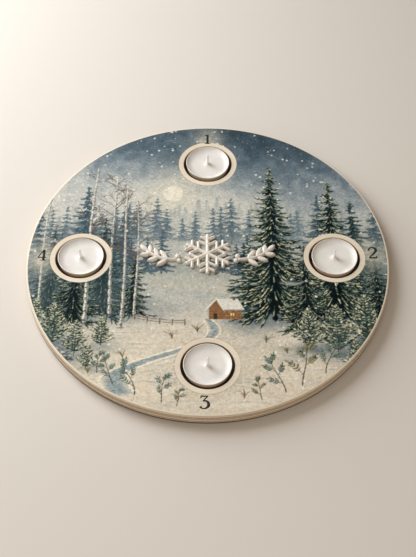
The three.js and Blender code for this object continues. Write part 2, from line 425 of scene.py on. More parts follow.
def wax_material(settings):
    """White wax: light goes a little way in, the surface is smooth with faint cooling ripples."""
    n = Nodes("white_wax")
    wax = tuple(settings.wax)
    blots = n.noise(160, 3)
    n.set(Base_Color=n.fade(blots, shade(wax, 0.97), shade(wax, 1.02)), Roughness=n.fade(blots, 0.34, 0.44))
    n.set(Subsurface_Weight=0.35, Subsurface_Scale=0.002, Subsurface_Radius=(1.0, 0.8, 0.6), IOR=1.44)
    n.bump(n.math("ADD", blots, n.noise(700, 2)), 0.12, 0.2 * MM)
    return n.material


def wick_material():
    """Waxed cotton braid that lets light through."""
    n = Nodes("waxed_cotton")
    thread = n.fibres((2500, 2500, 1200), 3, 0.6)
    n.set(Base_Color=n.fade(thread, (0.88, 0.85, 0.80), (0.97, 0.95, 0.92)))
    n.set(Roughness=n.fade(thread, 0.6, 0.8))
    n.set(Subsurface_Weight=1.0, Subsurface_Scale=0.004, Subsurface_Radius=(1.0, 0.9, 0.8))
    n.bump(thread, 0.4, 0.1 * MM)
    return n.material


def steel_material():
    """Tinned steel of the wick's foot."""
    n = Nodes("tinned_steel")
    lines = n.fibres((900, 120, 900), 4, 0.6)
    n.set(Base_Color=n.fade(lines, (0.5, 0.49, 0.48), (0.66, 0.65, 0.63)), Metallic=1.0)
    n.set(Roughness=n.fade(lines, 0.3, 0.45))
    n.bump(lines, 0.2, 0.1 * MM)
    return n.material


# The board

ARC_STEPS = 72
SIDE_STEPS = 40


def quadrant_edge(radius):
    """The edge of one quarter of the disc, centred on +X: along the rim, then in to the middle and out."""
    rim = radius * ray(np.linspace(-np.pi / 4, np.pi / 4, ARC_STEPS + 1))
    share = np.linspace(1, 0, SIDE_STEPS + 1)[1:, None]
    return np.concatenate([rim, share * rim[-1], share[::-1][1:] * rim[0]])


def turn_by(points, angle):
    """Points turned about the upright axis."""
    c, s = math.cos(angle), math.sin(angle)
    x, y, z = points[..., 0], points[..., 1], points[..., 2]
    return np.stack([c * x - s * y, s * x + c * y, z], axis=-1)


def board_grids(settings):
    """The board's surfaces. In each quarter, every edge point B has a point H on the recess's circle, in
    B's direction from the recess's centre C; the top is H + v (B - H), and below H the recess goes down.
    The rim is a profile of roundings carried round the board."""
    rounding, foot, mouth = settings.edge_rounding, settings.foot_rounding, settings.mouth_rounding
    recess = settings.recess_diameter / 2
    edge = quadrant_edge(BOARD_RADIUS - rounding)
    centre = np.array([PLACE_RADIUS, 0.0])
    away = edge - centre
    away /= np.linalg.norm(away, axis=1, keepdims=True)
    circle = centre + (recess + mouth) * away
    share = np.linspace(0, 1, 7)[:, None, None]
    top = at_height(circle + share * (edge - circle), BOARD_TOP)
    well = np.concatenate([
        fillet(recess + mouth, BOARD_TOP - mouth, mouth, 180, 90, 5)[::-1],
        [(recess, z) for z in np.linspace(BOARD_TOP - mouth, RECESS_FLOOR, 6)[1:]],
        [(recess * part, RECESS_FLOOR) for part in (0.66, 0.33, 0.0)],
    ])
    down = np.stack([at_height(centre + radius * away, z) for radius, z in well])
    rim = np.concatenate([
        [(0, 0), (BOARD_RADIUS * 0.5, 0)],
        fillet(BOARD_RADIUS - foot, foot, foot, -90, 0, 5),
        [(BOARD_RADIUS, z) for z in np.linspace(foot, BOARD_TOP - rounding, 6)[1:-1]],
        fillet(BOARD_RADIUS - rounding, BOARD_TOP - rounding, rounding, 0, 90, 9),
    ])
    grids = [turn_by(turned(rim, 4 * ARC_STEPS), -math.pi / 4)]
    for number in PLACES:
        angle = place_angle(number)
        grids += [turn_by(top, angle)[::-1], turn_by(down, angle)]
    return grids


def make_board(settings):
    closed_piece("plywood_board", board_grids(settings), wood_material(settings), ["board"])


# Painting: a sheet of colour that strokes are laid on, looked up by place

def rgb(red, green, blue):
    return np.array([red, green, blue], np.float32) / 255


def ease(low, high, value):
    """0 below low, 1 above high, and a smooth rise between."""
    share = np.clip((value - low) / (high - low), 0, 1)
    return share * share * (3 - 2 * share)


def cloud(x, y, cell, octaves, seed):
    """Soft noise from -1 to 1: random values on a lattice, blended smoothly, and halved octaves of it."""
    total, size = np.zeros(np.broadcast(x, y).shape, np.float32), 0.0
    for octave in range(octaves):
        scale = 2.0 ** octave / cell
        lattice = np.random.default_rng(seed + octave).random((64, 64)).astype(np.float32)
        u, v = x * scale + 17.3 * octave, y * scale + 5.1 * octave
        i, j = np.floor(u).astype(int), np.floor(v).astype(int)
        a, b = u - i, v - j
        a, b = a * a * (3 - 2 * a), b * b * (3 - 2 * b)
        low = lattice[j % 64, i % 64] * (1 - a) + lattice[j % 64, (i + 1) % 64] * a
        high = lattice[(j + 1) % 64, i % 64] * (1 - a) + lattice[(j + 1) % 64, (i + 1) % 64] * a
        total += (low * (1 - b) + high * b) * 0.5 ** octave
        size += 0.5 ** octave
    return total / size * 2 - 1


class Painting:
    """A square sheet of paint. Places are in millimetres, and later strokes lie over earlier ones."""

    def __init__(self, reach, step, paper):
        count = int(round(2 * reach / step)) + 1
        self.line = np.linspace(-reach, reach, count, dtype=np.float32)
        self.reach = reach
        self.step = float(self.line[1] - self.line[0])
        self.x, self.y = self.line[None, :], self.line[:, None]
        self.colour = np.tile(paper, (count, count, 1)).astype(np.float32)

    def wash(self, colour, cover):
        """Blend a colour over the whole sheet by a cover from 0 to 1 at each place."""
        self.colour += np.asarray(cover, np.float32)[..., None] * (colour - self.colour)

    def patch(self, x, y, width, height):
        """A soft spot over the whole sheet: exp(-(dx/width)^2 - (dy/height)^2)."""
        return np.exp(-((self.x - x) / width) ** 2 - ((self.y - y) / height) ** 2)

    def near(self, x, y, reach):
        """The rows and columns within reach of a place, and their distances from it."""
        rows, columns = [slice(max(int((c - reach + self.reach) / self.step), 0),
                               max(int((c + reach + self.reach) / self.step) + 2, 0)) for c in (y, x)]
        return rows, columns, self.line[None, columns] - x, self.line[rows, None] - y

    def lay(self, rows, columns, mask, colour):
        """Blend a colour over some rows and columns."""
        part = self.colour[rows, columns]
        part += mask[..., None] * (colour - part)

    def dab(self, x, y, angle, length, width, colour, cover=1.0, soft=0.5):
        """A pointed stroke of half length and half width: it covers where 1 - s^2 - |t| is above 0."""
        rows, columns, dx, dy = self.near(x, y, length + width)
        c, s = math.cos(angle), math.sin(angle)
        along = (dx * c + dy * s) / length
        across = np.abs(dy * c - dx * s) / width
        self.lay(rows, columns, np.clip((1 - along * along - across) / soft, 0, 1) * cover, colour)

    def dabs(self, x, y, angle, length, width, colours, cover, soft):
        """One dab for each item of the rows given."""
        for stroke in zip(x, y, angle, length, width, np.clip(colours, 0, 1)):
            self.dab(*stroke, cover, soft)

    def disc(self, x, y, radius, colour, cover=1.0, soft=0.4):
        """A round spot with a soft edge."""
        rows, columns, dx, dy = self.near(x, y, radius)
        self.lay(rows, columns, np.clip((1 - np.hypot(dx, dy) / radius) / soft, 0, 1) * cover, colour)

    def stem(self, places, first_width, last_width, colour, cover=1.0):
        """A line through places that gets thinner: one dab from each place to the next, with an overlap."""
        places = np.asarray(places, float)
        if len(places) == 2:
            places = places[0] + np.linspace(0, 1, 7)[:, None] * (places[1] - places[0])
        steps = np.diff(places, axis=0)
        widths = np.linspace(first_width, last_width, len(steps))
        for place, step, width in zip(places[:-1] + steps / 2, steps, widths):
            length = np.hypot(*step) * 0.5
            self.dab(*place, math.atan2(step[1], step[0]), length * 1.45, width * 1.25, colour, cover, 0.35)

    def polygon(self, corners, colour, soft=0.3):
        """A convex shape, corners given anticlockwise: inside where every edge's distance is above 0."""
        corners = np.asarray(corners, float)
        middle = corners.mean(0)
        rows, columns, dx, dy = self.near(*middle, np.ptp(corners, axis=0).max())
        inside = np.inf
        for start, end in zip(corners - middle, np.roll(corners, -1, axis=0) - middle):
            edge = (end - start) / np.hypot(*(end - start))
            inside = np.minimum(inside, edge[0] * (dy - start[1]) - edge[1] * (dx - start[0]))
        self.lay(rows, columns, np.clip(inside / soft + 0.5, 0, 1), colour)

    def block(self, left, right, low, high, colour):
        """An upright rectangle."""
        self.polygon([(left, low), (right, low), (right, high), (left, high)], colour)

    def at(self, x, y):
        """The colours at places, blended between the four nearest points of the sheet."""
        u = np.clip((x + self.reach) / self.step, 0, len(self.line) - 1.001)
        v = np.clip((y + self.reach) / self.step, 0, len(self.line) - 1.001)
        i, j = u.astype(int), v.astype(int)
        a, b = (u - i)[:, None], (v - j)[:, None]
        low = self.colour[j, i] * (1 - a) + self.colour[j, i + 1] * a
        high = self.colour[j + 1, i] * (1 - a) + self.colour[j + 1, i + 1] * a
        return low * (1 - b) + high * b


def blend_stops(share, stops):
    """Colours along a row of (place, colour) stops."""
    places, colours = zip(*stops)
    return np.stack([np.interp(share, places, channel) for channel in np.transpose(colours)], axis=-1)


# Motifs of the winter wood

SHEET_STEP = 0.3
MOON = (-30, 70)
MOON_RADIUS = 9.0


def paint_sky(sheet, seed):
    """Evening sky: pale at the horizon and slate blue above, blotched like wet paint, with a low moon."""
    x, y = sheet.x, sheet.y
    height = ease(5, 150, y + 0 * x) + 0.34 * ease(-20, 130, x + 0.25 * y) - 0.14
    height = height - 0.24 * ease(-50, -140, x) - 0.2 * sheet.patch(0, 48, 60, 34)
    height = height + 0.28 * cloud(x, y, 36, 5, seed) + 0.16 * cloud(x, y, 7, 4, seed + 9)
    stops = [(0.0, rgb(210, 208, 199)), (0.28, rgb(187, 191, 188)), (0.5, rgb(154, 163, 167)),
             (0.74, rgb(110, 126, 136)), (1.0, rgb(72, 90, 102)), (1.25, rgb(46, 62, 72))]
    sheet.colour[:] = blend_stops(height, stops)
    sheet.wash(rgb(222, 215, 194), 0.78 * sheet.patch(*MOON, 27, 27))
    sheet.disc(*MOON, MOON_RADIUS, rgb(248, 240, 220), 1.0, 0.1)
    distance = np.hypot(x - MOON[0], y - MOON[1])
    craters = cloud(x, y, 5, 3, seed + 3) * ease(MOON_RADIUS, MOON_RADIUS - 1, distance)
    sheet.wash(rgb(206, 203, 188), np.clip(craters, 0, 1) * 0.7)


def paint_haze(sheet, level, depth, colour, cover):
    """A drift of mist about a level, torn by noise."""
    torn = 1 + 0.5 * cloud(sheet.x / 2, sheet.y, 12, 3, int(level) + 60)
    band = np.exp(-((sheet.y - level) / depth) ** 2) * torn
    sheet.wash(colour, np.clip(band * cover, 0, 1))


def paint_blots(sheet, rng, count, low, high, span, cover):
    """Loose brush marks: each takes the paint under it a little lighter or darker."""
    x = rng.uniform(-148, 148, count)
    y = rng.uniform(low, high, count)
    angle = rng.normal(0.15, 0.5, count)
    length = rng.uniform(0.35, 1, count) * span
    tone = rng.choice([0.78, 0.87, 1.12, 1.22], count)
    sheet.dabs(x, y, angle, length, 0.3 * length + 0.15, sheet.at(x, y) * tone[:, None], cover, 0.9)


def ridge(x, level, sizes, seed):
    """A hill's outline: its level plus waves and a little noise."""
    waves = sizes[0] * np.sin(x / 41 + seed) + sizes[1] * np.sin(x / 19 + 2.3 * seed)
    return level + waves + 0.6 * sizes[1] * cloud(x, 0 * x, 9, 3, 50 + seed)


def paint_hill(sheet, level, sizes, seed, crest, foot, depth):
    """A hill: covered below its outline, from the crest's colour down to the foot's."""
    x, y = sheet.x, sheet.y
    drop = ridge(x, level, sizes, seed) - y
    share = np.clip(drop / depth + 0.12 * cloud(x, y, 15, 3, 70 + seed), 0, 1)
    sheet.wash(blend_stops(share, [(0, crest), (1, foot)]), ease(-0.5, 1.1, drop))


def side_of(spine):
    """1 where a spine of places runs to the right, and -1 where it runs to the left."""
    return 1 if spine[-1][0] > spine[0][0] else -1


def on_line(line, t):
    """The place at a share t of a line, whose places are even steps of the share."""
    knots = np.linspace(0, 1, len(line))
    return np.array([np.interp(t, knots, line[:, axis]) for axis in (0, 1)])


def walk(root, turns, span):
    """Places from a root on, with one of the equal steps of a span for each heading in turns."""
    return np.concatenate([[root], root + np.cumsum(ray(turns), axis=0) * span / len(turns)])


def paint_needles(sheet, rng, spine, needle, colour, crowd, size, lean, cover):
    """Needle strokes off a spine of places: they fan out to both sides, turned by lean towards one."""
    steps = np.diff(spine, axis=0)
    count = max(int(crowd * np.hypot(*steps.T).sum() / needle), 2)
    s = rng.random(count) * (len(spine) - 1.001)
    k = s.astype(int)
    place = spine[k] + (s - k)[:, None] * steps[k]
    fan = rng.uniform(0.2, 0.8, count) * rng.choice([-1, 1], count) + lean
    angle = np.arctan2(steps[k, 1], steps[k, 0]) + side_of(spine) * fan
    length = needle * size * rng.uniform(0.65, 1.2, count)
    x, y = (place + 0.6 * length[:, None] * ray(angle)).T
    tone = rng.uniform(0.82, 1.18, count)
    sheet.dabs(x, y, angle, length, 0.24 * length + 0.06, colour * tone[:, None], cover, 0.6)


def paint_fringe(sheet, rng, spine, body, needle, crowd, low, high, fan, tone):
    """Needles along a spine of places, between two shares of the body's depth below it. Each is turned from
    the spine's heading by an angle in the range fan, downwards where that is positive, and tone gives its
    colour from its share along the spine and its share of the depth."""
    count = max(int(crowd * math.dist(spine[0], spine[-1]) / needle), 3)
    s = rng.random(count)
    knots = np.linspace(0, 1, len(spine))
    slope = np.gradient(spine, axis=0)
    heading = np.unwrap(np.arctan2(slope[:, 1], slope[:, 0]))
    drop = rng.uniform(low, high, count)
    x, y = on_line(spine, s)
    y = y - drop * np.interp(s, knots, body)
    turn = np.interp(s, knots, heading) - side_of(spine) * rng.uniform(*fan, count)
    length = needle * rng.uniform(0.7, 1.25, count)
    colours = tone(s[:, None], drop[:, None]) * rng.uniform(0.88, 1.12, count)[:, None]
    sheet.dabs(x, y, turn, length, 0.27 * length + 0.08, colours, 0.95, 0.55)


def paint_bough(sheet, rng, root, tip, depth, needle, tones, lit, shoots=0):
    """One bough: at a share s its spine is root + s (tip - root), lowered a little in the middle and turned
    up at the end. A dark body hangs below, then green needles, then smaller boughs that leave it, and last
    the pale needles along its upper edge, by the share lit."""
    dark, green, light = tones
    root, tip = np.asarray(root, float), np.asarray(tip, float)
    span = math.dist(root, tip)
    s = np.linspace(0, 1, 9)
    spine = root + s[:, None] * (tip - root)
    spine[:, 1] += span * (0.07 * s ** 3 - rng.uniform(0.0, 0.12) * np.sin(np.pi * s ** 0.8))
    body = depth * (1 - 0.75 * s)
    slope = np.gradient(spine, axis=0)
    for place, way, thick in zip(spine[::2], slope[::2], body[::2]):
        sheet.dab(place[0], place[1] - 0.5 * thick, math.atan2(way[1], way[0]), 0.15 * span + 0.4,
                  0.6 * thick + 0.15, dark, 0.85, 0.8)

    def below(s, drop):
        return dark + (green - dark) * np.clip(0.1 + 0.95 * s - 0.45 * drop, 0, 1)

    def above(s, drop):
        return green + (light - green) * np.clip(lit * (1.4 * s - 0.05) + 3 * drop, 0, 1)

    paint_fringe(sheet, rng, spine, body, needle, 2.3, 0.0, 1.0, (0.2, 1.1), below)
    for k in range(shoots):
        at = 2 + 2 * k + int(rng.integers(0, 2))
        heading = math.atan2(slope[at, 1], slope[at, 0]) - side_of(spine) * rng.uniform(0.35, 0.7)
        reach = span * rng.uniform(0.26, 0.38) * (1.15 - 0.6 * s[at])
        end = spine[at] + reach * ray(heading)
        paint_bough(sheet, rng, spine[at], end, 0.5 * depth, 0.85 * needle, tones, 0.8 * lit)
    paint_fringe(sheet, rng, spine[1:], body[1:], needle, 1.5, -0.12, 0.14, (-0.6, 0.1), above)


def paint_fir(sheet, rng, x, foot, top, reach, tones, lit=0.5):
    """A fir. At a share t from the top its half width is reach t^0.85, and its tiers lie at t = (k/n)^1.2.
    Tiers are painted from the lowest up, and in each the outer boughs before the nearer ones, over a dark
    heart. The moon's side is the lighter one."""
    height = top - foot
    tiers = int(6 + height / 9.5)
    needle = min(max(height / 92, 0.62), 1.6)
    dark = tones[0]
    sheet.stem([(x, foot - 0.02 * height), (x, foot + 0.2 * height)], 0.012 * height + 0.2,
               0.01 * height + 0.15, dark * 0.75)
    for t in ((np.arange(tiers) + 0.5) / tiers)[::-1] ** 1.2:
        tier_level = top - 0.94 * height * t
        half = reach * t ** 0.85 + 0.6
        gap = 1.2 * height / tiers * t ** 0.17
        depth = 0.09 * half + 1.2 * needle
        for _ in range(4 + int(half / 4)):
            side = rng.uniform(-0.6, 0.6)
            sheet.dab(x + side * half, tier_level - 0.2 * half * (1 + abs(side)), -0.7 * side,
                      0.26 * half + 0.3, 0.1 * half + 0.4, dark, 0.85, 0.9)
        for u in np.linspace(1, 0.3, 2 + int(half / 10)):
            shoots = 3 if half * u > 9 * needle else 0
            for way in rng.permutation([-1, 1]):
                level = tier_level + rng.uniform(-0.45, 0.45) * gap
                drop = half * (0.12 + 0.26 * t + 0.26 * (1 - u)) * rng.uniform(0.7, 1.3)
                tip = (x + way * half * u * rng.uniform(0.8, 1.16), level - drop)
                shine = lit * (1.2 if way < 0 else 0.85) * rng.uniform(0.5, 1.15)
                tint = [tone * rng.uniform(0.9, 1.1) for tone in tones]
                root = (x + way * 0.04 * half, level + 0.06 * half)
                paint_bough(sheet, rng, root, tip, depth, needle, tint, shine, shoots)
        for side in rng.permutation([-0.45, 0.0, 0.4]):
            root = (x + 0.3 * side * half, tier_level)
            tip_x = x + (side + rng.uniform(-0.14, 0.14)) * half
            tip = (tip_x, tier_level - rng.uniform(0.34, 0.48) * half)
            paint_bough(sheet, rng, root, tip, depth, needle, tones, 0.9 * lit)
    tip = (x + rng.uniform(-0.2, 0.2), top + 0.012 * height)
    sheet.stem([(x, top - 0.06 * height), tip], 0.35 * needle, 0.15, tones[1])


def paint_fir_row(sheet, rng, places, level, sizes, seed, tones):
    """A row of distant firs that stand on a hill's outline, some darker than others."""
    for x in places:
        height = rng.uniform(*sizes)
        foot = float(ridge(np.array(x), *level, seed)) - rng.uniform(1, 4)
        tint = [tone + rng.uniform(-0.04, 0.04) for tone in tones]
        paint_fir(sheet, rng, x, foot, foot + height, height * rng.uniform(0.24, 0.32), tint, 0.4)


def paint_sapling(sheet, rng, x, foot, height, tones):
    """A young fir in the open: its boughs rise from a thin stem, and frost lies on most of its needles."""
    dark, green, frost = tones
    needle = 0.9 + height / 45
    trunk = [(x, foot), (x + 0.3, foot + 0.5 * height), (x, foot + height)]
    sheet.stem(trunk, 0.5, 0.22, rgb(66, 56, 46), 0.95)
    tiers = int(height / 3.0)
    t = np.linspace(0, 1, 6)[:, None]
    for v in np.arange(tiers + 1) / tiers:
        root = np.array([x, foot + height * (0.12 + 0.84 * v)])
        for way in rng.permutation([-1, 1]):
            for spread in (1.0, 0.55):
                span = height * 0.36 * (1 - 0.88 * v) * spread * rng.uniform(0.8, 1.2) + 0.5
                heading = math.pi / 2 - way * rng.uniform(0.85, 1.15) * (1 - 0.35 * v) * (0.6 + 0.4 * spread)
                spine = root + t * span * ray(heading) + 0.12 * span * t ** 2 * [0, 1]
                paint_needles(sheet, rng, spine, needle, dark, 2.0, 1.1, -0.2, 0.95)
                paint_needles(sheet, rng, spine, needle, green, 1.6, 0.95, 0.05, 0.9)
                paint_needles(sheet, rng, spine[1:] + [0, 0.35 * needle], needle, frost, 2.4, 0.9, 0.15, 0.95)
    sheet.dab(x, foot + height + 0.4 * needle, math.pi / 2, needle, 0.3 * needle, frost)


def paint_branch(sheet, rng, root, heading, length, width, colour, depth):
    """A bare branch that bends over by its own weight and divides until depth is used up."""
    bend = rng.normal(-0.25 * np.sign(math.cos(heading)), 0.3) - 0.35 * math.cos(heading) * depth / 3
    turns = heading + bend * np.linspace(0, 1, 6)
    line = walk(root, turns, length)
    sheet.stem(line, width, max(0.55 * width, 0.13), colour, 0.8)
    if depth == 0:
        if rng.random() < 0.35:
            sheet.dab(*line[-1], turns[-1], 0.9, 0.32, rgb(214, 210, 196), 0.7)
        return
    for k in rng.choice([2, 3, 4, 5], 3, replace=False):
        fork = turns[k] + rng.choice([-1, 1]) * rng.uniform(0.3, 0.75)
        reach = length * rng.uniform(0.45, 0.7)
        paint_branch(sheet, rng, line[k + 1], fork, reach, 0.6 * width, colour, depth - 1)


def paint_birch(sheet, rng, x, foot, top, width):
    """A birch: a pale trunk that bends a little, lit on its left and grey on its right, with dark bands,
    and bare boughs that rise steeply and end in fine twigs."""
    share = np.linspace(0, 1, 17)
    bend = rng.uniform(-5, 5)
    trunk_x = x + bend * share ** 2 + 0.9 * np.sin(5 * share + x)
    line = np.stack([trunk_x, foot + (top - foot) * share], axis=-1)
    for k in range(13):
        t = rng.uniform(0.4, 1.0)
        way = 1 if k % 2 else -1
        heading = math.pi / 2 - way * rng.uniform(0.35, 0.85) * (1.15 - 0.5 * t)
        length = rng.uniform(12, 20) * (1.35 - 0.75 * t)
        thick = 0.36 + 0.12 * width * (1 - t)
        paint_branch(sheet, rng, on_line(line, t), heading, length, thick, rgb(92, 82, 78), 2)
    sheet.stem(line, width, width * 0.3, rgb(206, 202, 190))
    sheet.stem(line - [0.3 * width, 0], width * 0.45, width * 0.14, rgb(238, 230, 212), 0.9)
    sheet.stem(line + [0.42 * width, 0], width * 0.42, width * 0.14, rgb(124, 130, 130), 0.8)
    for _ in range(int((top - foot) / 2.0)):
        t = rng.random() ** 1.2
        size = width * (1 - 0.65 * t)
        spot = on_line(line, t) + [rng.uniform(-0.55, 0.45) * size, 0]
        sheet.dab(*spot, rng.normal(0.08, 0.16), 0.75 * size * rng.uniform(0.4, 1.1), 0.24 + 0.14 * size,
                  rgb(56, 52, 50), 0.85)
    sheet.dab(*line[0], 0, 2.2 * width, 0.9 * width, rgb(70, 78, 80), 0.5, 0.9)


def paint_cabin(sheet, rng, x, foot, width):
    """A log cabin with snow on its roof, a lit window and a thread of smoke."""
    half, wall = width / 2, 0.42 * width
    brown, beam = rgb(150, 108, 72), rgb(98, 70, 50)

    def at(*places):
        """Places given by shares of the cabin's width and of its wall's height."""
        return [(x + across * width, foot + up * wall) for across, up in places]

    sheet.block(x - half, x + half, foot, foot + wall, brown)
    sheet.polygon(at((-0.5, 1), (-0.02, 1), (-0.26, 1.72)), brown)
    for row in np.arange(0.5, wall + 0.7 * wall, 1.35):
        above = max(row - wall, 0)
        right = half if row < wall else -0.6 * above - 0.5
        sheet.stem([(x - half + 0.75 * above, foot + row), (x + right, foot + row)], 0.2, 0.2, beam, 0.7)
    for _ in range(70):
        spot = (x + rng.uniform(-half, half) * 0.94, foot + rng.uniform(0.05, 0.95) * wall)
        tone = np.clip(brown * rng.choice([0.72, 0.85, 1.15, 1.28]), 0, 1)
        sheet.dab(*spot, 0, rng.uniform(0.6, 1.8), 0.28, tone, 0.7)
    door_x, window_x = x - 0.3 * width, x + 0.22 * width
    sheet.block(door_x - 1.5, door_x + 1.5, foot, foot + 5.6, rgb(66, 50, 40))
    sheet.block(window_x - 2.2, window_x + 2.2, foot + 3, foot + 6.6, beam)
    sheet.block(window_x - 1.7, window_x + 1.7, foot + 3.4, foot + 6.2, rgb(243, 203, 128))
    sheet.stem([(window_x, foot + 3), (window_x, foot + 6.6)], 0.22, 0.22, beam)
    sheet.polygon(at((-0.06, 0.86), (0.6, 0.86), (0.4, 1.82), (-0.27, 1.82)), rgb(232, 227, 214))
    sheet.stem(at((-0.62, 0.8), (-0.27, 1.86), (-0.04, 0.8)), 0.75, 0.75, rgb(236, 230, 216))
    sheet.stem(at((-0.06, 0.8), (0.6, 0.8)), 0.5, 0.5, rgb(150, 160, 168), 0.7)
    for _ in range(26):
        spot = (x + rng.uniform(-0.1, 0.45) * width, foot + rng.uniform(1.0, 1.72) * wall)
        sheet.dab(*spot, -0.4, rng.uniform(1, 2.4), 0.45, rgb(196, 202, 204), 0.45, 0.9)
    flue_x, flue_y = x + 0.28 * width, foot + 1.8 * wall
    sheet.block(flue_x - 1.1, flue_x + 1.1, flue_y - 1, flue_y + 3, rgb(120, 92, 74))
    sheet.dab(flue_x, flue_y + 3.2, 0, 1.7, 0.8, rgb(236, 232, 220))
    for k in range(9):
        sheet.disc(flue_x + 0.9 * k * (0.6 + 0.3 * math.sin(k)), flue_y + 4.5 + 2.0 * k, 1.3 + 0.32 * k,
                   rgb(214, 214, 206), 0.34 - 0.028 * k, 1.0)


def paint_ground(sheet, rng, seed):
    """Snowy ground: warm cream with blue-grey hollows, and drifts that are pale above and shaded below."""
    x, y = sheet.x, sheet.y
    drop = ridge(x, -33, (4, 2.5), 4) + 0.0008 * x * x - y
    cover = ease(-1.5, 5, drop + 2.5 * cloud(x / 2.5, y, 3, 3, seed))
    stops = [(0, rgb(184, 187, 180)), (0.3, rgb(218, 208, 190)), (1, rgb(226, 213, 192))]
    sheet.wash(blend_stops(np.clip(drop / 90, 0, 1), stops), cover)
    hollow = cloud(x / 3.4, y, 10, 4, seed + 5)
    sheet.wash(rgb(156, 167, 168), cover * ease(0.05, 0.75, hollow) * (0.36 + 0.22 * ease(0, 90, x)))
    sheet.wash(rgb(242, 232, 213), cover * ease(0.05, 0.7, -hollow) * (0.62 + 0.3 * ease(20, -50, x)))
    sheet.wash(rgb(238, 226, 204), 0.5 * cover * ease(20, -60, x) * ease(-62, -92, y))
    for _ in range(44):
        depth = rng.random()
        px, py, wide = rng.uniform(-146, 146), -56 - 88 * depth, rng.uniform(7, 20) * (0.6 + 0.7 * depth)
        for offset, colour, share in ((0.9, rgb(242, 232, 212), 0.42), (-0.7, rgb(150, 162, 166), 0.26)):
            for step in (-0.8, -0.4, 0.0, 0.4, 0.8):
                sheet.dab(px + step * wide, py + offset - 0.9 * step * step * (0.5 + depth), -0.12 * step,
                          0.5 * wide, 0.75, colour, share, 0.9)
    tones = (rgb(150, 160, 160), rgb(244, 234, 212), rgb(176, 170, 150))
    for _ in range(3200):
        px, depth = rng.uniform(-148, 148), rng.random()
        tone = tones[rng.choice(3, p=[0.4, 0.42, 0.18])]
        sheet.dab(px, -34 - 113 * depth, rng.normal(0.02, 0.2), rng.uniform(0.8, 3.2), rng.uniform(0.25, 0.6),
                  tone, 0.42, 0.9)


def paint_shade(sheet, x, y, width, height, colour, cover):
    """A soft flat patch of shade on the snow, with a broken edge."""
    broken = 1 + 0.6 * cloud(sheet.x / 2.4, sheet.y, 4, 3, int(abs(x)) + 9)
    sheet.wash(colour, np.clip(sheet.patch(x, y, width, height) * broken, 0, 1) * cover)


def paint_brook(sheet, rng):
    """A half frozen brook that winds from beside the cabin to the lower left rim."""
    t = np.linspace(0, 1, 90)
    middle = np.stack([19 * np.sin(6.4 * t) - 68 * t, -62 - 68 * t], axis=-1)
    breadth = 2.5 + 8.5 * t
    for place, wide in zip(middle, breadth):
        sheet.dab(*place, 0.05, wide, 0.9 + 0.12 * wide, rgb(134, 152, 158), 0.34)
    tones = (rgb(98, 118, 128), rgb(206, 211, 204), rgb(146, 162, 166))
    for k in range(420):
        share = rng.random()
        wide = np.interp(share, t, breadth)
        place = on_line(middle, share) + [rng.normal(0, 0.42) * wide, rng.normal(0, 0.5)]
        sheet.dab(*place, rng.normal(0, 0.08), rng.uniform(0.8, 2.6), 0.32, tones[k % 3], 0.6)
    for way in (-1, 1):
        offset = way * (breadth + 0.7 + 0.6 * np.sin(17 * t))
        bank = (middle + np.stack([offset, np.full(len(t), -0.3)], axis=-1))[::4]
        sheet.stem(bank - [0.4 * way, 0.9], 0.5, 0.9, rgb(112, 128, 134), 0.55)
        sheet.stem(bank, 0.7, 1.5, rgb(247, 238, 218), 0.9)


def paint_fence(sheet, posts):
    """A split-rail fence, its posts capped with snow."""
    rail, snow = rgb(112, 92, 76), rgb(234, 228, 212)
    for level in (1.8, 4.2):
        sheet.stem([(x, y + level) for x, y in posts], 0.42, 0.42, rail, 0.9)
        sheet.stem([(x, y + level + 0.45) for x, y in posts], 0.24, 0.24, snow, 0.8)
    for x, y in posts:
        sheet.stem([(x, y - 0.4), (x, y + 5.8)], 0.55, 0.5, rail, 0.95)
        sheet.dab(x, y + 6.1, 0, 0.95, 0.5, snow)


def paint_grass(sheet, rng, x, y, blades, height, colour):
    """A tuft: blades that fan out from one root and bend over."""
    for _ in range(blades):
        way = rng.normal(0, 0.5)
        tall = height * rng.uniform(0.55, 1.1)
        line = [(x + way * tall * t * t + rng.normal(0, 0.1), y + tall * (t - 0.18 * t * t * abs(way)))
                for t in np.linspace(0, 1, 4)]
        sheet.stem(line, 0.3, 0.16, colour * rng.uniform(0.8, 1.15), 0.8)


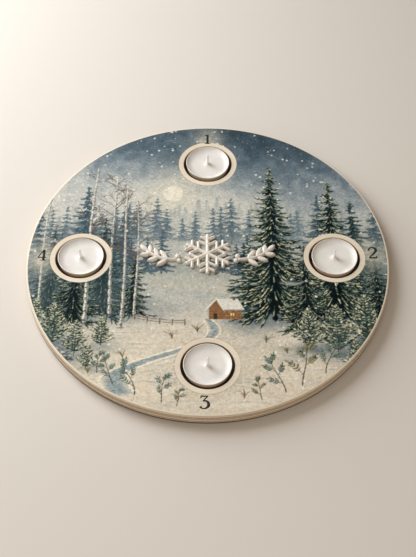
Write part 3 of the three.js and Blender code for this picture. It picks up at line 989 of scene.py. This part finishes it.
def paint_twig(sheet, rng, x, y, lean, height, leaf, berry=None):
    """A leafy twig from the snow: its bending stem carries four side shoots, each with paired pointed leaves
    that have a dark rim and a pale middle, and now and then a berry at the end."""
    stem, pale = rgb(82, 72, 56), rgb(206, 208, 184)
    t = np.linspace(0, 1, 9)
    stem_x = x + lean * height * t ** 1.4 + 0.05 * height * np.sin(4 * t + x)
    line = np.stack([stem_x, y + height * t], axis=-1)
    sheet.stem(line, 0.012 * height + 0.2, 0.2, stem, 0.95)
    shoots = [(line[6], math.pi / 2 - 1.2 * lean, 0.3 * height)]
    for way, at in zip((-1, 1, -1, 1), (2, 4, 5, 7)):
        heading = math.pi / 2 - way * rng.uniform(0.55, 0.95) - 0.8 * lean
        shoots.append((line[at], heading, height * rng.uniform(0.34, 0.48) * (1.15 - at / 11)))
    for root, heading, span in shoots:
        turns = heading + rng.uniform(-0.4, 0.4) * np.linspace(0, 1, 6)
        shoot = walk(root, turns, span)
        sheet.stem(shoot, 0.26, 0.17, stem, 0.9)
        for k in range(1, 6):
            for side in (-1, 1) if k < 5 else (0,):
                turn = turns[k] + side * rng.uniform(0.55, 0.95)
                length = 0.058 * height * rng.uniform(0.8, 1.2)
                place = shoot[k + 1] + length * ray(turn)
                vein = place + [-0.1 * length, 0.14 * length]
                tint = np.clip(leaf * rng.uniform(0.75, 1.2), 0, 1)
                sheet.dab(*place, turn, length, 0.42 * length, 0.7 * tint, 0.95, 0.35)
                sheet.dab(*place, turn, 0.8 * length, 0.26 * length, 1.15 * tint, 0.9, 0.35)
                sheet.dab(*vein, turn, 0.6 * length, 0.12 * length, pale, 0.75)
        if berry is not None and rng.random() < 0.5:
            size = rng.uniform(0.03, 0.042) * height
            sheet.disc(*shoot[-1], size, berry * rng.uniform(0.75, 1.1))
            sheet.disc(*(shoot[-1] + [-0.3 * size, 0.35 * size]), 0.35 * size, pale, 0.85)


def paint_bush(sheet, rng, x, y, width, height, tones, snow):
    """A low bush: leaves thrown over a dome, dark below and lighter above, with lumps of snow on top."""
    dark, green, light = tones
    paint_shade(sheet, x + 0.15 * width, y, 1.1 * width, 0.35 * height, rgb(92, 108, 116), 0.7)
    count = int(20 * width)
    across, up = rng.uniform(-1, 1, count), rng.random(count)
    for k in np.argsort(up + rng.normal(0, 0.15, count)):
        dome = math.sqrt(1 - across[k] ** 2)
        lit = np.clip(up[k] + rng.normal(-0.1, 0.2), 0, 1)
        colour = dark + (green - dark) * min(2 * lit, 1) + (light - green) * max(2 * lit - 1, 0)
        turn = math.pi / 2 - 1.1 * across[k] + rng.normal(0, 0.6)
        size = rng.uniform(0.8, 1.5) * (0.6 + width / 40)
        colour = np.clip(colour * rng.uniform(0.85, 1.15), 0, 1)
        sheet.dab(x + width * across[k], y + height * up[k] * dome, turn, size, 0.42 * size, colour, 0.95)
    for _ in range(int(snow * width)):
        side = rng.uniform(-0.85, 0.85)
        px, py = x + width * side, y + height * math.sqrt(1 - side ** 2) * rng.uniform(0.55, 1.05)
        size = rng.uniform(1.2, 2.4)
        sheet.dab(px, py - 0.5, -0.4 * side, 1.2 * size, 0.6 * size, rgb(146, 158, 162), 0.7, 0.7)
        sheet.dab(px, py, -0.4 * side, 1.2 * size, 0.55 * size, rgb(240, 232, 214), 0.95)


def paint_snowfall(sheet, rng, fine, large):
    """Falling snow: many fine cream specks and fewer soft flakes, thickest in the upper half."""
    for count, low, high, cover in ((fine, 0.3, 0.6, 0.65), (large, 0.8, 1.45, 1.0)):
        x, y = rng.uniform(-147, 147, count), 147 - 275 * rng.random(count) ** 1.3
        size = low + (high - low) * rng.random(count) ** 1.5
        for flake in zip(x, y, size):
            sheet.disc(*flake, rgb(250, 243, 226), cover * rng.uniform(0.65, 1.0), 0.5)


def paint_clearings(sheet, ring_radius):
    """Paler patches behind the numbers, so that they read well, and the tan line round each bare ring."""
    torn = 1 + 0.35 * cloud(sheet.x, sheet.y, 5, 3, 77)
    for x, y, width, cover in ((0, 134, 14, 0.72), (137, 1, 16, 0.85), (-137, -1, 16, 0.85),
                               (-1, -137, 16, 0.45)):
        patch = sheet.patch(x, y, width, width) * torn
        sheet.wash(rgb(210, 202, 184), np.clip(cover * patch, 0, 1))
    for number in PLACES:
        x, y = place_centre(number)
        line = (np.hypot(sheet.x - x, sheet.y - y) - ring_radius - 0.2) / 0.55
        sheet.wash(rgb(168, 142, 112), 0.36 * np.exp(-line ** 2))


HAZE = rgb(197, 196, 188)
SLATE = rgb(56, 78, 90), rgb(80, 101, 110), rgb(140, 152, 148)
SPRUCE = rgb(22, 42, 48), rgb(46, 74, 76), rgb(156, 164, 138)
FOREST = rgb(4, 15, 20), rgb(36, 67, 62), rgb(226, 220, 178)
FROSTED = rgb(26, 46, 47), rgb(66, 88, 76), rgb(222, 215, 182)
BUSH = rgb(36, 52, 56), rgb(76, 94, 90), rgb(150, 154, 132)
LEAF, OLIVE, BERRY, STRAW = rgb(88, 116, 108), rgb(122, 124, 88), rgb(92, 62, 50), rgb(112, 100, 70)


def paint_distance(sheet, rng):
    """Three hills, one behind the other, each with its row of firs, and the mist between them."""
    paint_hill(sheet, 38, (9, 4), 1, rgb(158, 167, 165), HAZE, 26)
    farthest = np.linspace(-144, 144, 50) + rng.normal(0, 3, 50)
    paint_fir_row(sheet, rng, farthest, (38, (9, 4)), (10, 22), 1,
                  [rgb(140, 153, 155), rgb(152, 163, 162), rgb(178, 184, 175)])
    paint_haze(sheet, 36, 13, HAZE, 0.5)
    sheet.wash(rgb(222, 217, 204), 0.6 * sheet.patch(0, 44, 52, 24))
    paint_hill(sheet, 19, (6, 3), 2, rgb(170, 175, 169), HAZE, 32)
    far = np.linspace(-143, 145, 27) + rng.normal(0, 2.5, 27)
    paint_fir_row(sheet, rng, far, (16, (6, 3)), (24, 50), 2,
                  [rgb(92, 111, 121), rgb(108, 126, 133), rgb(148, 159, 156)])
    paint_haze(sheet, 10, 12, HAZE, 0.55)
    paint_hill(sheet, -9, (5, 3), 3, rgb(168, 174, 168), rgb(200, 196, 180), 26)
    near = (-138, -122, -108, -92, -78, -64, -50, -38, 1, 12, 24, 33, 46, 60, 82, 106, 128)
    paint_fir_row(sheet, rng, near, (-14, (5, 3)), (22, 48), 3,
                  [rgb(58, 79, 90), rgb(80, 101, 108), rgb(138, 150, 146)])


def paint_wood(sheet, rng):
    """The firs and birches that stand on the snow, from the back row to the front one."""
    for x, y, width in ((-126, -52, 34), (-98, -54, 40), (-66, -50, 26), (60, -54, 30), (92, -58, 44),
                        (128, -56, 34), (34, -60, 20), (-128, -84, 26), (122, -84, 28), (76, -33, 24)):
        paint_shade(sheet, x, y, width, 11, rgb(74, 94, 104), 0.7 if x < 0 else 0.85)
    back = ((-142, -46, 50, 22, 0.5), (-103, -48, 78, 29, 0.5), (-70, -48, 56, 23, 0.5),
            (141, -50, 54, 24, 0.5), (94, -48, 68, 27, 0.5))
    middle = ((-128, -56, 30, 25, 0.6), (-86, -56, 42, 28, 0.6), (122, -58, 60, 29, 0.6),
              (30, -58, 16, 17, 0.6))
    front = ((-108, -64, 16, 25, 0.75), (-60, -58, 2, 16, 0.7), (138, -70, 4, 22, 0.75),
             (104, -62, 82, 33, 0.95), (54, -60, 100, 36, 1.0), (80, -72, 12, 25, 0.9))
    for firs, tones, mist in ((back, SLATE, 0.3), (middle, SPRUCE, 0.16), (front, FOREST, 0)):
        for x, foot, top, reach, lit in firs:
            paint_fir(sheet, rng, x, foot, top, reach, tones, lit)
        paint_haze(sheet, -42, 20, HAZE, mist)
    for birch in ((-137, -62, 60, 1.3), (-79, -58, 88, 1.6), (-99, -66, 98, 2.0), (-58, -58, 62, 1.3),
                  (-69, -70, 74, 1.7)):
        paint_birch(sheet, rng, *birch)


def paint_foreground(sheet, rng):
    """Bushes, frosted saplings, twigs and tufts on the snow in front."""
    for bush in ((-136, -80, 13, 13), (-117, -100, 12, 11), (136, -76, 12, 13), (119, -106, 12, 11)):
        paint_bush(sheet, rng, *bush, BUSH, 0.9)
    for x, foot, height in ((-122, -88, 40), (-104, -96, 32), (-84, -88, 27), (-138, -74, 30), (126, -88, 48),
                            (102, -96, 46), (80, -90, 37), (116, -110, 28), (-94, -108, 21)):
        paint_shade(sheet, x + 3, foot, 14, 5, rgb(84, 102, 110), 0.38 if x < 0 else 0.75)
        paint_sapling(sheet, rng, x, foot, height, FROSTED)
    for twig in ((58, -129, -0.3, 30, LEAF), (74, -123, 0.05, 36, OLIVE), (92, -112, 0.3, 27, LEAF),
                 (42, -136, -0.3, 19, OLIVE)):
        paint_twig(sheet, rng, *twig, BERRY)
    for twig in ((-56, -131, -0.35, 28), (-36, -138, 0.2, 24), (-72, -122, -0.4, 24), (-86, -112, 0.2, 19),
                 (-24, -141, 0.3, 15)):
        paint_twig(sheet, rng, *twig, LEAF)
    for tuft in ((-22, -136), (28, -134), (-92, -112), (-28, -80), (-66, -98), (46, -84), (62, -94),
                 (-8, -74)):
        paint_grass(sheet, rng, *tuft, 13, 8, STRAW)


def winter_wood(seed, ring_radius):
    """The whole print, from the sky at the back to the twigs in front."""
    rng = np.random.default_rng(seed)
    sheet = Painting(BOARD_RADIUS, SHEET_STEP, rgb(214, 204, 186))
    paint_sky(sheet, seed)
    paint_blots(sheet, rng, 9000, 0, 149, 2.6, 0.34)
    paint_distance(sheet, rng)
    paint_ground(sheet, rng, seed + 20)
    paint_wood(sheet, rng)
    paint_cabin(sheet, rng, 14, -62, 26)
    paint_brook(sheet, rng)
    paint_fence(sheet, [(-58, -62), (-48, -64.5), (-38, -66), (-28, -67), (-18, -67)])
    paint_foreground(sheet, rng)
    paint_clearings(sheet, ring_radius)
    paint_blots(sheet, rng, 9000, -149, 20, 1.5, 0.26)
    paint_snowfall(sheet, rng, 1100, 330)
    sheet.colour *= 1 + 0.07 * cloud(sheet.x, sheet.y, 1.3, 2, seed + 40)[..., None]
    return sheet


# Sheets over an outline: shared by the print and the raised ornament

HALVES = (slice(None, -1), slice(1, None))
SHIFTS = [(rows, columns) for rows in HALVES for columns in HALVES]


def region_grid(depth, box, step):
    """Points and faces of a square grid over the places where depth is above 0, without necks that are one
    square wide. A point on the border moves along the depth's slope until its depth is 0, so that the edge
    follows the outline."""
    low, high = np.array(box[0], float), np.array(box[1], float)
    count = np.maximum(np.round((high - low) / step).astype(int), 1)
    x, y = np.meshgrid(low[0] + step * np.arange(count[0] + 1), low[1] + step * np.arange(count[1] + 1))
    inside = depth((x[:-1, :-1] + x[1:, 1:]) / 2, (y[:-1, :-1] + y[1:, 1:]) / 2) > 0
    block = np.logical_and.reduce([inside[shift] for shift in SHIFTS])
    kept = np.zeros(inside.shape, bool)
    for shift in SHIFTS:
        kept[shift] |= block
    touching = np.zeros(x.shape, int)
    for shift in SHIFTS:
        touching[shift] += kept
    used = touching > 0
    border = used & (touching < 4)
    small = 0.05 * step
    for _ in range(3):
        slope_x = (depth(x + small, y) - depth(x - small, y)) / (2 * small)
        slope_y = (depth(x, y + small) - depth(x, y - small)) / (2 * small)
        steepness = np.maximum(slope_x ** 2 + slope_y ** 2, 0.05)
        move = np.clip(np.where(border, depth(x, y) / steepness, 0), -0.8 * step, 0.8 * step)
        x, y = x - move * slope_x, y - move * slope_y
    index = -np.ones(x.shape, int)
    index[used] = np.arange(used.sum())
    return x[used], y[used], border[used], grid_faces(index)[kept]


PRINT_MARGIN = 0.5
PRINT_SINK = 0.02


def quarter_depth(ring_radius, edge_radius):
    """Depth inside the print's first quarter: within the rim and outside both bare rings."""
    def depth(x, y):
        rings = np.minimum(np.hypot(x - PLACE_RADIUS, y), np.hypot(x, y - PLACE_RADIUS)) - ring_radius
        return np.minimum(edge_radius - np.hypot(x, y), rings)
    return depth


def close_below(piece, bottom):
    """Give an open flat sheet its edge and underside: the border goes straight down and is filled."""
    with edited(piece) as body:
        border = [edge for edge in body.edges if edge.is_boundary]
        made = bmesh.ops.extrude_edge_only(body, edges=border)["geom"]
        for corner in (item for item in made if isinstance(item, bmesh.types.BMVert)):
            corner.co.z = bottom * MM
        lower = [item for item in made if isinstance(item, bmesh.types.BMEdge) and item.is_boundary]
        bmesh.ops.contextual_create(body, geom=lower)
        for edge in border + lower:
            edge.smooth = False
        bmesh.ops.recalc_face_normals(body, faces=body.faces)


def colour_print(piece, sheet, edge_radius, bottom):
    """The painted colours as a point attribute, and a bake map: the upper face fills a quarter disc, and
    the underside lies small in the free corner beyond its arc."""
    mesh = piece.data
    places = np.empty(len(mesh.vertices) * 3, np.float32)
    mesh.vertices.foreach_get("co", places)
    places = places.reshape(-1, 3) / MM
    colour = sheet.at(places[:, 0], places[:, 1])
    linear = np.where(colour <= 0.04045, colour / 12.92, ((colour + 0.055) / 1.055) ** 2.4)
    paint = mesh.attributes.new("paint", "FLOAT_COLOR", "POINT")
    paint.data.foreach_set("color", np.concatenate([linear, np.ones((len(linear), 1))], axis=1).ravel())
    corners = np.empty(len(mesh.loops), np.int32)
    mesh.loops.foreach_get("vertex_index", corners)
    sizes = np.empty(len(mesh.polygons), np.int32)
    mesh.polygons.foreach_get("loop_total", sizes)
    owner = np.repeat(np.arange(len(sizes)), sizes)
    low_faces = np.zeros(len(sizes), bool)
    low_faces[owner[places[corners, 2] < bottom + 0.01]] = True
    share = np.abs(places[corners, :2]) / edge_radius
    small = low_faces[owner][:, None]
    uv = np.where(small, 0.70 + 0.28 * share, 0.004 + 0.92 * share)
    layer = mesh.uv_layers.new(name="OFBake")
    layer.data.foreach_set("uv", uv.astype(np.float32).ravel())


def make_print(settings, board):
    """Four quarters of the print, each a thin film on the board's top face."""
    step = settings.grain * 1
    ring_radius = board.ring_diameter / 2
    sheet = winter_wood(settings.seed, ring_radius)
    material = print_material()
    edge_radius = BOARD_RADIUS - board.edge_rounding - PRINT_MARGIN
    reach = edge_radius + step
    x, y, _, faces = region_grid(quarter_depth(ring_radius, edge_radius), ((0, 0), (reach, reach)), step)
    top, bottom = BOARD_TOP + settings.film, BOARD_TOP - PRINT_SINK
    for name, sx, sy in (("print_back_right", 1, 1), ("print_back_left", -1, 1),
                         ("print_front_left", -1, -1), ("print_front_right", 1, -1)):
        order = faces if sx * sy > 0 else faces[:, ::-1]
        points = at_height(np.stack([sx * x, sy * y], axis=-1), top)
        piece = new_piece(name, points, order, material)
        close_below(piece, bottom)
        colour_print(piece, sheet, edge_radius, bottom)


# Numbers

def curve_through(places, steps=8):
    """A smooth line through places: between each pair, the Catmull-Rom cubic of the four nearest."""
    p = np.asarray(places, float)
    p = np.concatenate([[2 * p[0] - p[1]], p, [2 * p[-1] - p[-2]]])
    t = np.linspace(0, 1, steps, endpoint=False)[:, None]
    a, b, c, d = p[:-3, None], p[1:-2, None], p[2:-1, None], p[3:, None]
    bend = (2 * a - 5 * b + 4 * c - d) * t ** 2 + (3 * b - a - 3 * c + d) * t ** 3
    spans = 0.5 * (2 * b + (c - a) * t + bend)
    return np.concatenate([spans.reshape(-1, 2), p[-2:-1]])


def ribbon(line, widths, low, high):
    """A flat closed band along a line: at each place the cross-section is a low box of that half width."""
    widths = np.interp(np.linspace(0, 1, len(line)), np.linspace(0, 1, len(widths)), widths)
    along = np.gradient(line, axis=0)
    along /= np.maximum(np.linalg.norm(along, axis=1, keepdims=True), 1e-9)
    across = np.stack([-along[:, 1], along[:, 0]], axis=-1) * widths[:, None]
    corners = [(1, low), (-1, low), (-1, high), (1, high)]
    return capped(np.stack([at_height(line + side * across, z) for side, z in corners], axis=1))


# Strokes of plain serif numbers, 12 mm tall on their base line: places on each stroke, and its half widths
NUMBERS = {
    1: [([(0.2, 0.2), (0.2, 11.9)], [0.85, 0.85]), ([(0.2, 11.7), (-2.5, 10.3)], [0.5, 0.25]),
        ([(-2.5, 0.3), (2.9, 0.3)], [0.32, 0.32])],
    2: [([(-3.0, 8.6), (-2.5, 10.9), (0.1, 12.0), (2.8, 10.8), (3.0, 8.2), (0.6, 4.6), (-3.2, 0.6)],
         [0.75, 0.4, 0.5, 0.9, 0.95, 0.6, 0.35]),
        ([(-3.3, 0.6), (3.4, 0.6)], [0.6, 0.65]), ([(3.2, 0.5), (3.8, 2.6)], [0.5, 0.2])],
    3: [([(-2.6, 9.7), (-2.4, 11.6)], [0.25, 0.4]), ([(-2.7, 11.5), (3.0, 11.5)], [0.5, 0.45]),
        ([(3.0, 11.6), (-0.9, 6.9)], [0.4, 0.35]),
        ([(-0.9, 7.0), (1.6, 7.1), (3.5, 5.2), (3.3, 2.2), (0.9, 0.2), (-1.6, 0.4), (-3.1, 2.0)],
         [0.3, 0.6, 0.95, 0.95, 0.5, 0.4, 0.85])],
    4: [([(1.3, 11.8), (-3.7, 3.7)], [0.5, 0.32]), ([(-3.8, 3.5), (3.8, 3.5)], [0.42, 0.42]),
        ([(1.3, 11.9), (1.3, 0.2)], [0.85, 0.85]), ([(-1.0, 0.3), (3.5, 0.3)], [0.3, 0.3])],
}
NUMBER_SPOTS = {1: (-0.4, 129.4), 2: (136.8, -0.8), 3: (-2.7, -143.2), 4: (-137.2, -3.0)}
NUMBER_SIZE, NUMBER_WEIGHT, THINNEST_STROKE = 0.94, 1.2, 0.4


def make_numbers(settings):
    """The four numbers, printed outside their places and all upright to the same side."""
    material = ink_material(settings)
    low, high = BOARD_TOP - 0.01, BOARD_TOP + settings.film + 0.05
    for number, strokes in NUMBERS.items():
        bands = []
        for places, widths in strokes:
            line = curve_through(places) if len(places) > 2 else np.linspace(*places, 6)
            widths = np.maximum(np.multiply(widths, NUMBER_WEIGHT), THINNEST_STROKE)
            bands.append(ribbon(line * NUMBER_SIZE, widths, low, high) + [*NUMBER_SPOTS[number], 0])
        closed_piece(f"number_{number}", bands, material)


# Raised ornament

def segment_depth(x, y, start, end, half_width):
    """Depth inside a straight stroke with round ends."""
    way = end - start
    share = np.clip(((x - start[0]) * way[0] + (y - start[1]) * way[1]) / (way @ way), 0, 1)
    return half_width - np.hypot(x - start[0] - share * way[0], y - start[1] - share * way[1])


def leaf_depth(x, y, root, heading, length, half_width):
    """Depth inside a pointed leaf: two equal arcs that meet at its root and tip."""
    c, s = math.cos(heading), math.sin(heading)
    along = (x - root[0]) * c + (y - root[1]) * s - length / 2
    across = np.abs((y - root[1]) * c - (x - root[0]) * s)
    radius = (length ** 2 / 4 + half_width ** 2) / (2 * half_width)
    return radius - np.hypot(along, across + radius - half_width)


def soft_union(depths, blend):
    """The deepest of several depths, with a small fillet where two meet."""
    total = depths[0]
    for other in depths[1:]:
        share = np.clip(0.5 + 0.5 * (other - total) / blend, 0, 1)
        total = total + (other - total) * share + blend * share * (1 - share)
    return total


def snowflake_depth(x, y):
    """Six arms, each with two pairs of barbs."""
    parts = []
    radius, centre = 21.0, np.array([0, ORNAMENT_Y])
    for angle in math.pi / 2 + np.arange(6) * math.pi / 3:
        parts.append(segment_depth(x, y, centre, centre + ray(angle) * (radius - 1.8), 1.8))
        for along, length in ((0.42, 7.5), (0.7, 6.0)):
            root = centre + ray(angle) * along * radius
            for turn in (-math.pi / 3, math.pi / 3):
                parts.append(segment_depth(x, y, root, root + length * ray(angle + turn), 1.5))
    return soft_union(parts, 0.5)


def sprig_depth(side):
    """A bent stem as short strokes, paired leaves, a tip leaf and two berries; side mirrors it."""
    start, end = np.array([26.5, -6.0]), np.array([50.0, 3.0])
    knee = np.array([(start[0] + end[0]) / 2 + 3, start[1]])

    def placed_at(spot):
        return np.array([side * spot[0], ORNAMENT_Y + spot[1]])

    def stem_at(t):
        return placed_at((1 - t) ** 2 * start + 2 * t * (1 - t) * knee + t * t * end)

    def heading_at(t):
        way = 2 * (1 - t) * (knee - start) + 2 * t * (end - knee)
        return math.atan2(way[1], side * way[0])

    line = [stem_at(t) for t in np.linspace(0, 1, 9)]
    leaves = [(stem_at(t), heading_at(t) + turn, length, 2.4)
              for t, length in ((0.22, 12.0), (0.52, 11.0), (0.82, 10.0)) for turn in (-0.78, 0.78)]
    leaves.append((stem_at(0.96), heading_at(1.0), 10.0, 2.4))
    berries = [placed_at(start + offset) for offset in ((-1.8, 3.6), (-3.0, -1.2))]

    def depth(x, y):
        parts = [segment_depth(x, y, *ends, 1.6) for ends in zip(line, line[1:])]
        parts += [leaf_depth(x, y, *leaf) for leaf in leaves]
        parts += [2.3 - np.hypot(x - berry[0], y - berry[1]) for berry in berries]
        return soft_union(parts, 0.35)
    return depth


def raised_piece(name, depth, settings, material, node):
    """A raised shape on the board: height H sqrt(1 - (1 - d/w)^2) over an edge of width w, then flat,
    with the same outline as its flat underside."""
    low, high = [corner[:2] for corner in cad_box(node)]
    x, y, border, faces = region_grid(depth, (low - settings.step, high + settings.step), settings.step)
    share = np.clip(depth(x, y) / settings.rounding, 0, 1)
    crown = np.where(border, 0, ORNAMENT_HEIGHT * np.sqrt(1 - (1 - share) ** 2))
    flat = np.stack([x, y], axis=-1)
    points = np.concatenate([at_height(flat, BOARD_TOP + crown), at_height(flat, BOARD_TOP)])
    both = np.concatenate([faces, faces[:, ::-1] + len(x)])
    new_piece(name, points, both, material, [node])


def make_ornament(settings):
    """The snowflake and the sprig on each side of it."""
    material = cream_material(settings)
    for node, depth in (("snowflake", snowflake_depth), ("sprig_left", sprig_depth(-1)),
                        ("sprig_right", sprig_depth(1))):
        raised_piece(f"raised_{node}", depth, settings, material, node)


# Tealights

CUP_WALL = 0.3
LIP = 0.5
TAPER = 0.5


def cup_profile():
    """The cup's wall from the middle of its floor, out, up, over the rolled lip and back down inside."""
    base = LIP_RADIUS - LIP - TAPER
    roll = LIP * 0.5 + 0.08
    foot, floor = RECESS_FLOOR + 1, RECESS_FLOOR + CUP_WALL
    return np.concatenate([
        [(0, RECESS_FLOOR), (base * 0.6, RECESS_FLOOR)],
        fillet(base - 1, foot, 1, -90, -4, 6),
        [(base + TAPER * t, foot + (CUP_HEIGHT - 2.0) * t) for t in np.linspace(0, 1, 8)],
        fillet(LIP_RADIUS - roll, CUP_TOP - roll, roll, -60, 150, 10),
        [(base + TAPER * t - CUP_WALL, foot + (CUP_HEIGHT - 1.7) * t) for t in np.linspace(1, 0, 6)],
        [(base - 1, floor), (base * 0.5, floor), (0, floor)],
    ])


def wax_grid(sides, centre, seed):
    """The wax: a lathe shape whose upper face is a shallow dish that climbs the wall as a power of the
    radius, with a cone at the wick, height h exp(-(r/2)^1.2), and slow ripples."""
    outer = LIP_RADIUS - LIP - CUP_WALL - 0.05
    rim = CUP_TOP - 0.6
    climb, reach, cone = 1.9, 5.5, 2.3
    radii = np.concatenate([np.linspace(0.5, 4, 12), np.linspace(4.7, outer - reach, 8),
                            outer - reach + reach * np.sin(np.linspace(0.1, 1, 10) * np.pi / 2)])
    height = rim - climb + cone * np.exp(-(radii / 2.0) ** 1.2)
    height += climb * np.clip((radii - outer + reach) / reach, 0, 1) ** 2.4
    base = WAX_BASE + 0.02
    below = [(0.0, base), (outer - 0.8, base), (outer - 0.35, WAX_BASE + 0.4), (outer, rim - 1.0)]
    profile = np.concatenate([below, np.stack([radii, height], axis=-1)[::-1], [(0.0, height[0])]])
    grid = turned(profile, sides, centre)
    upper = slice(len(below), -1)
    angle = np.linspace(0, 2 * np.pi, sides, endpoint=False)
    spread = profile[upper, 0][:, None]
    calm = ease(outer, outer - 4, spread) * ease(1, 5, spread)
    ripples = 0.07 * np.sin(2 * angle + seed) + 0.05 * np.sin(3 * angle - 0.4 * spread + 2 * seed)
    grid[upper, :, 2] += calm * ripples
    return grid


def wick_grid(centre, seed):
    """A braided cord on a slightly bent line: radius r (1 + 0.1 cos(3 (a - k z))), pointed at the tip."""
    share = np.linspace(0, 1, 64)[:, None]
    base = RECESS_FLOOR + 1.0
    height = base + (WICK_TIP - base) * share
    angle = np.linspace(0, 2 * np.pi, 18, endpoint=False)
    thick = np.interp(share, [0, 0.45, 0.62, 0.94, 1], [1.06, 1.06, 1.08, 0.82, 0.12])
    radius = thick * (1 + 0.1 * np.cos(3 * (angle - 2.6 * height)))
    middle = centre + 0.25 * ease(0.5, 1, share) * ray(seed)
    return capped(at_height(middle[:, None] + radius[..., None] * ray(angle), height))


def make_tealights(settings):
    """A cup, its wax and its wick in each place; the hidden feet keep their own solids."""
    metal, wax = aluminium_material(settings), wax_material(settings)
    cotton, steel = wick_material(), steel_material()
    sides = settings.sides
    for number in PLACES:
        centre = place_centre(number)
        for kind, grid, material in (("cup", turned(cup_profile(), sides, centre), metal),
                                     ("wax", wax_grid(sides, centre, number), wax),
                                     ("wick", wick_grid(centre, 2.1 * number), cotton)):
            closed_piece(f"tealight_{kind}_{number}", [grid], material, [f"{kind}_{number}"])
        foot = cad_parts[f"wick_foot_{number}"].data
        foot.materials.clear()
        foot.materials.append(steel)


# Stage

def make_floor(settings):
    """A plain pale floor that is far wider than the view."""
    reach = 3.0
    mesh = bpy.data.meshes.new("floor")
    mesh.from_pydata([(-reach, -reach, 0), (reach, -reach, 0), (reach, reach, 0), (-reach, reach, 0)], [],
                     [(0, 1, 2, 3)])
    floor = placed("floor", mesh)
    n = Nodes("plain_floor")
    n.set(Base_Color=tuple(settings.floor), Roughness=0.85, Specular_IOR_Level=0.2)
    mesh.materials.append(n.material)


def aimed(name, data, place, aim):
    """A lamp or a camera at a place in metres, that faces another place."""
    thing = placed(name, data)
    thing.location = place
    thing.rotation_euler = (Vector(aim) - Vector(place)).to_track_quat("-Z", "Y").to_euler()
    return thing


def make_lights():
    """A soft key and a lower one from the back left, a weak fill from the front, and a pale warm surround."""
    for name, place, aim, size, power, colour in (
            ("key", (-0.7, 0.47, 0.75), (-0.15, -0.17, 0), 0.7, 9.9, (0.95, 0.985, 1.0)),
            ("low_key", (-0.86, 0.62, 0.25), (0, 0, 0), 0.42, 6.3, (0.97, 0.98, 1.0)),
            ("fill", (0.0, -1.0, 0.75), (0, -0.2, 0), 1.0, 3.3, (1.0, 0.93, 0.84))):
        lamp = bpy.data.lights.new(name, "AREA")
        lamp.size, lamp.energy, lamp.color = size, power, colour
        aimed(name, lamp, place, aim)
    world = bpy.data.worlds.new("surround")
    world.use_nodes = True
    surround = world.node_tree.nodes["Background"].inputs
    surround["Color"].default_value = (1.0, 0.83, 0.65, 1)
    surround["Strength"].default_value = 0.22
    bpy.context.scene.world = world
    bpy.context.scene.view_settings.view_transform = "Standard"


def make_camera(settings):
    """The camera looks at a place on the top face, a little in front of its middle."""
    aim = Vector((0.0003, -0.0216, BOARD_TOP * MM))
    back = Vector((0, -math.cos(settings.pitch), math.sin(settings.pitch)))
    lens = bpy.data.cameras.new("camera")
    lens.lens = settings.lens
    bpy.context.scene.camera = aimed("camera", lens, aim + back * settings.distance * MM, aim)


# Operators, panel and registration

class AdventBoardWood(bpy.types.Operator):
    """Make the plywood board with its recesses"""
    bl_idname = "advent.wood"
    bl_label = "Plywood board"

    def execute(self, context):
        make_board(context.scene.advent_board)
        return {"FINISHED"}


class AdventBoardPrint(bpy.types.Operator):
    """Paint the winter wood and lay it on the board"""
    bl_idname = "advent.print"
    bl_label = "Printed winter wood"

    def execute(self, context):
        make_print(context.scene.advent_print, context.scene.advent_board)
        return {"FINISHED"}


class AdventBoardNumbers(bpy.types.Operator):
    """Print the numbers beside the places"""
    bl_idname = "advent.numbers"
    bl_label = "Numbers"

    def execute(self, context):
        make_numbers(context.scene.advent_print)
        return {"FINISHED"}


class AdventBoardOrnament(bpy.types.Operator):
    """Make the raised snowflake and sprigs"""
    bl_idname = "advent.ornament"
    bl_label = "Raised ornament"

    def execute(self, context):
        make_ornament(context.scene.advent_ornament)
        return {"FINISHED"}


class AdventBoardTealights(bpy.types.Operator):
    """Make the four tealights"""
    bl_idname = "advent.tealights"
    bl_label = "Tealights"

    def execute(self, context):
        make_tealights(context.scene.advent_tealights)
        return {"FINISHED"}


class AdventBoardStage(bpy.types.Operator):
    """Set the floor, the lights and the camera"""
    bl_idname = "advent.stage"
    bl_label = "Stage"

    def execute(self, context):
        make_floor(context.scene.advent_stage)
        make_lights()
        make_camera(context.scene.advent_stage)
        return {"FINISHED"}


OPERATORS = (AdventBoardWood, AdventBoardPrint, AdventBoardNumbers, AdventBoardOrnament, AdventBoardTealights,
             AdventBoardStage)
SETTINGS = {
    "advent_board": BoardSettings,
    "advent_print": PrintSettings,
    "advent_ornament": OrnamentSettings,
    "advent_tealights": TealightSettings,
    "advent_stage": StageSettings,
}


class AdventBoardPanel(bpy.types.Panel):
    """Lists the makers and their settings"""
    bl_idname = "VIEW3D_PT_advent_board"
    bl_label = "Advent board"
    bl_space_type = "VIEW_3D"
    bl_region_type = "UI"
    bl_category = "Advent board"

    def draw(self, context):
        for name, group in SETTINGS.items():
            box = self.layout.box()
            box.label(text=group.__doc__)
            for key in group.__annotations__:
                box.prop(getattr(context.scene, name), key)
        for operator in OPERATORS:
            self.layout.operator(operator.bl_idname)


CLASSES = (*SETTINGS.values(), *OPERATORS, AdventBoardPanel)


def register():
    for item in CLASSES:
        bpy.utils.register_class(item)
    for name, group in SETTINGS.items():
        setattr(bpy.types.Scene, name, PointerProperty(type=group))


def unregister():
    for name in SETTINGS:
        delattr(bpy.types.Scene, name)
    for item in reversed(CLASSES):
        bpy.utils.unregister_class(item)


def main():
    register()
    bpy.ops.advent.stage()
    bpy.ops.advent.wood()
    bpy.ops.advent.print()
    bpy.ops.advent.numbers()
    bpy.ops.advent.ornament()
    bpy.ops.advent.tealights()


if __name__ == "__main__":
    main()
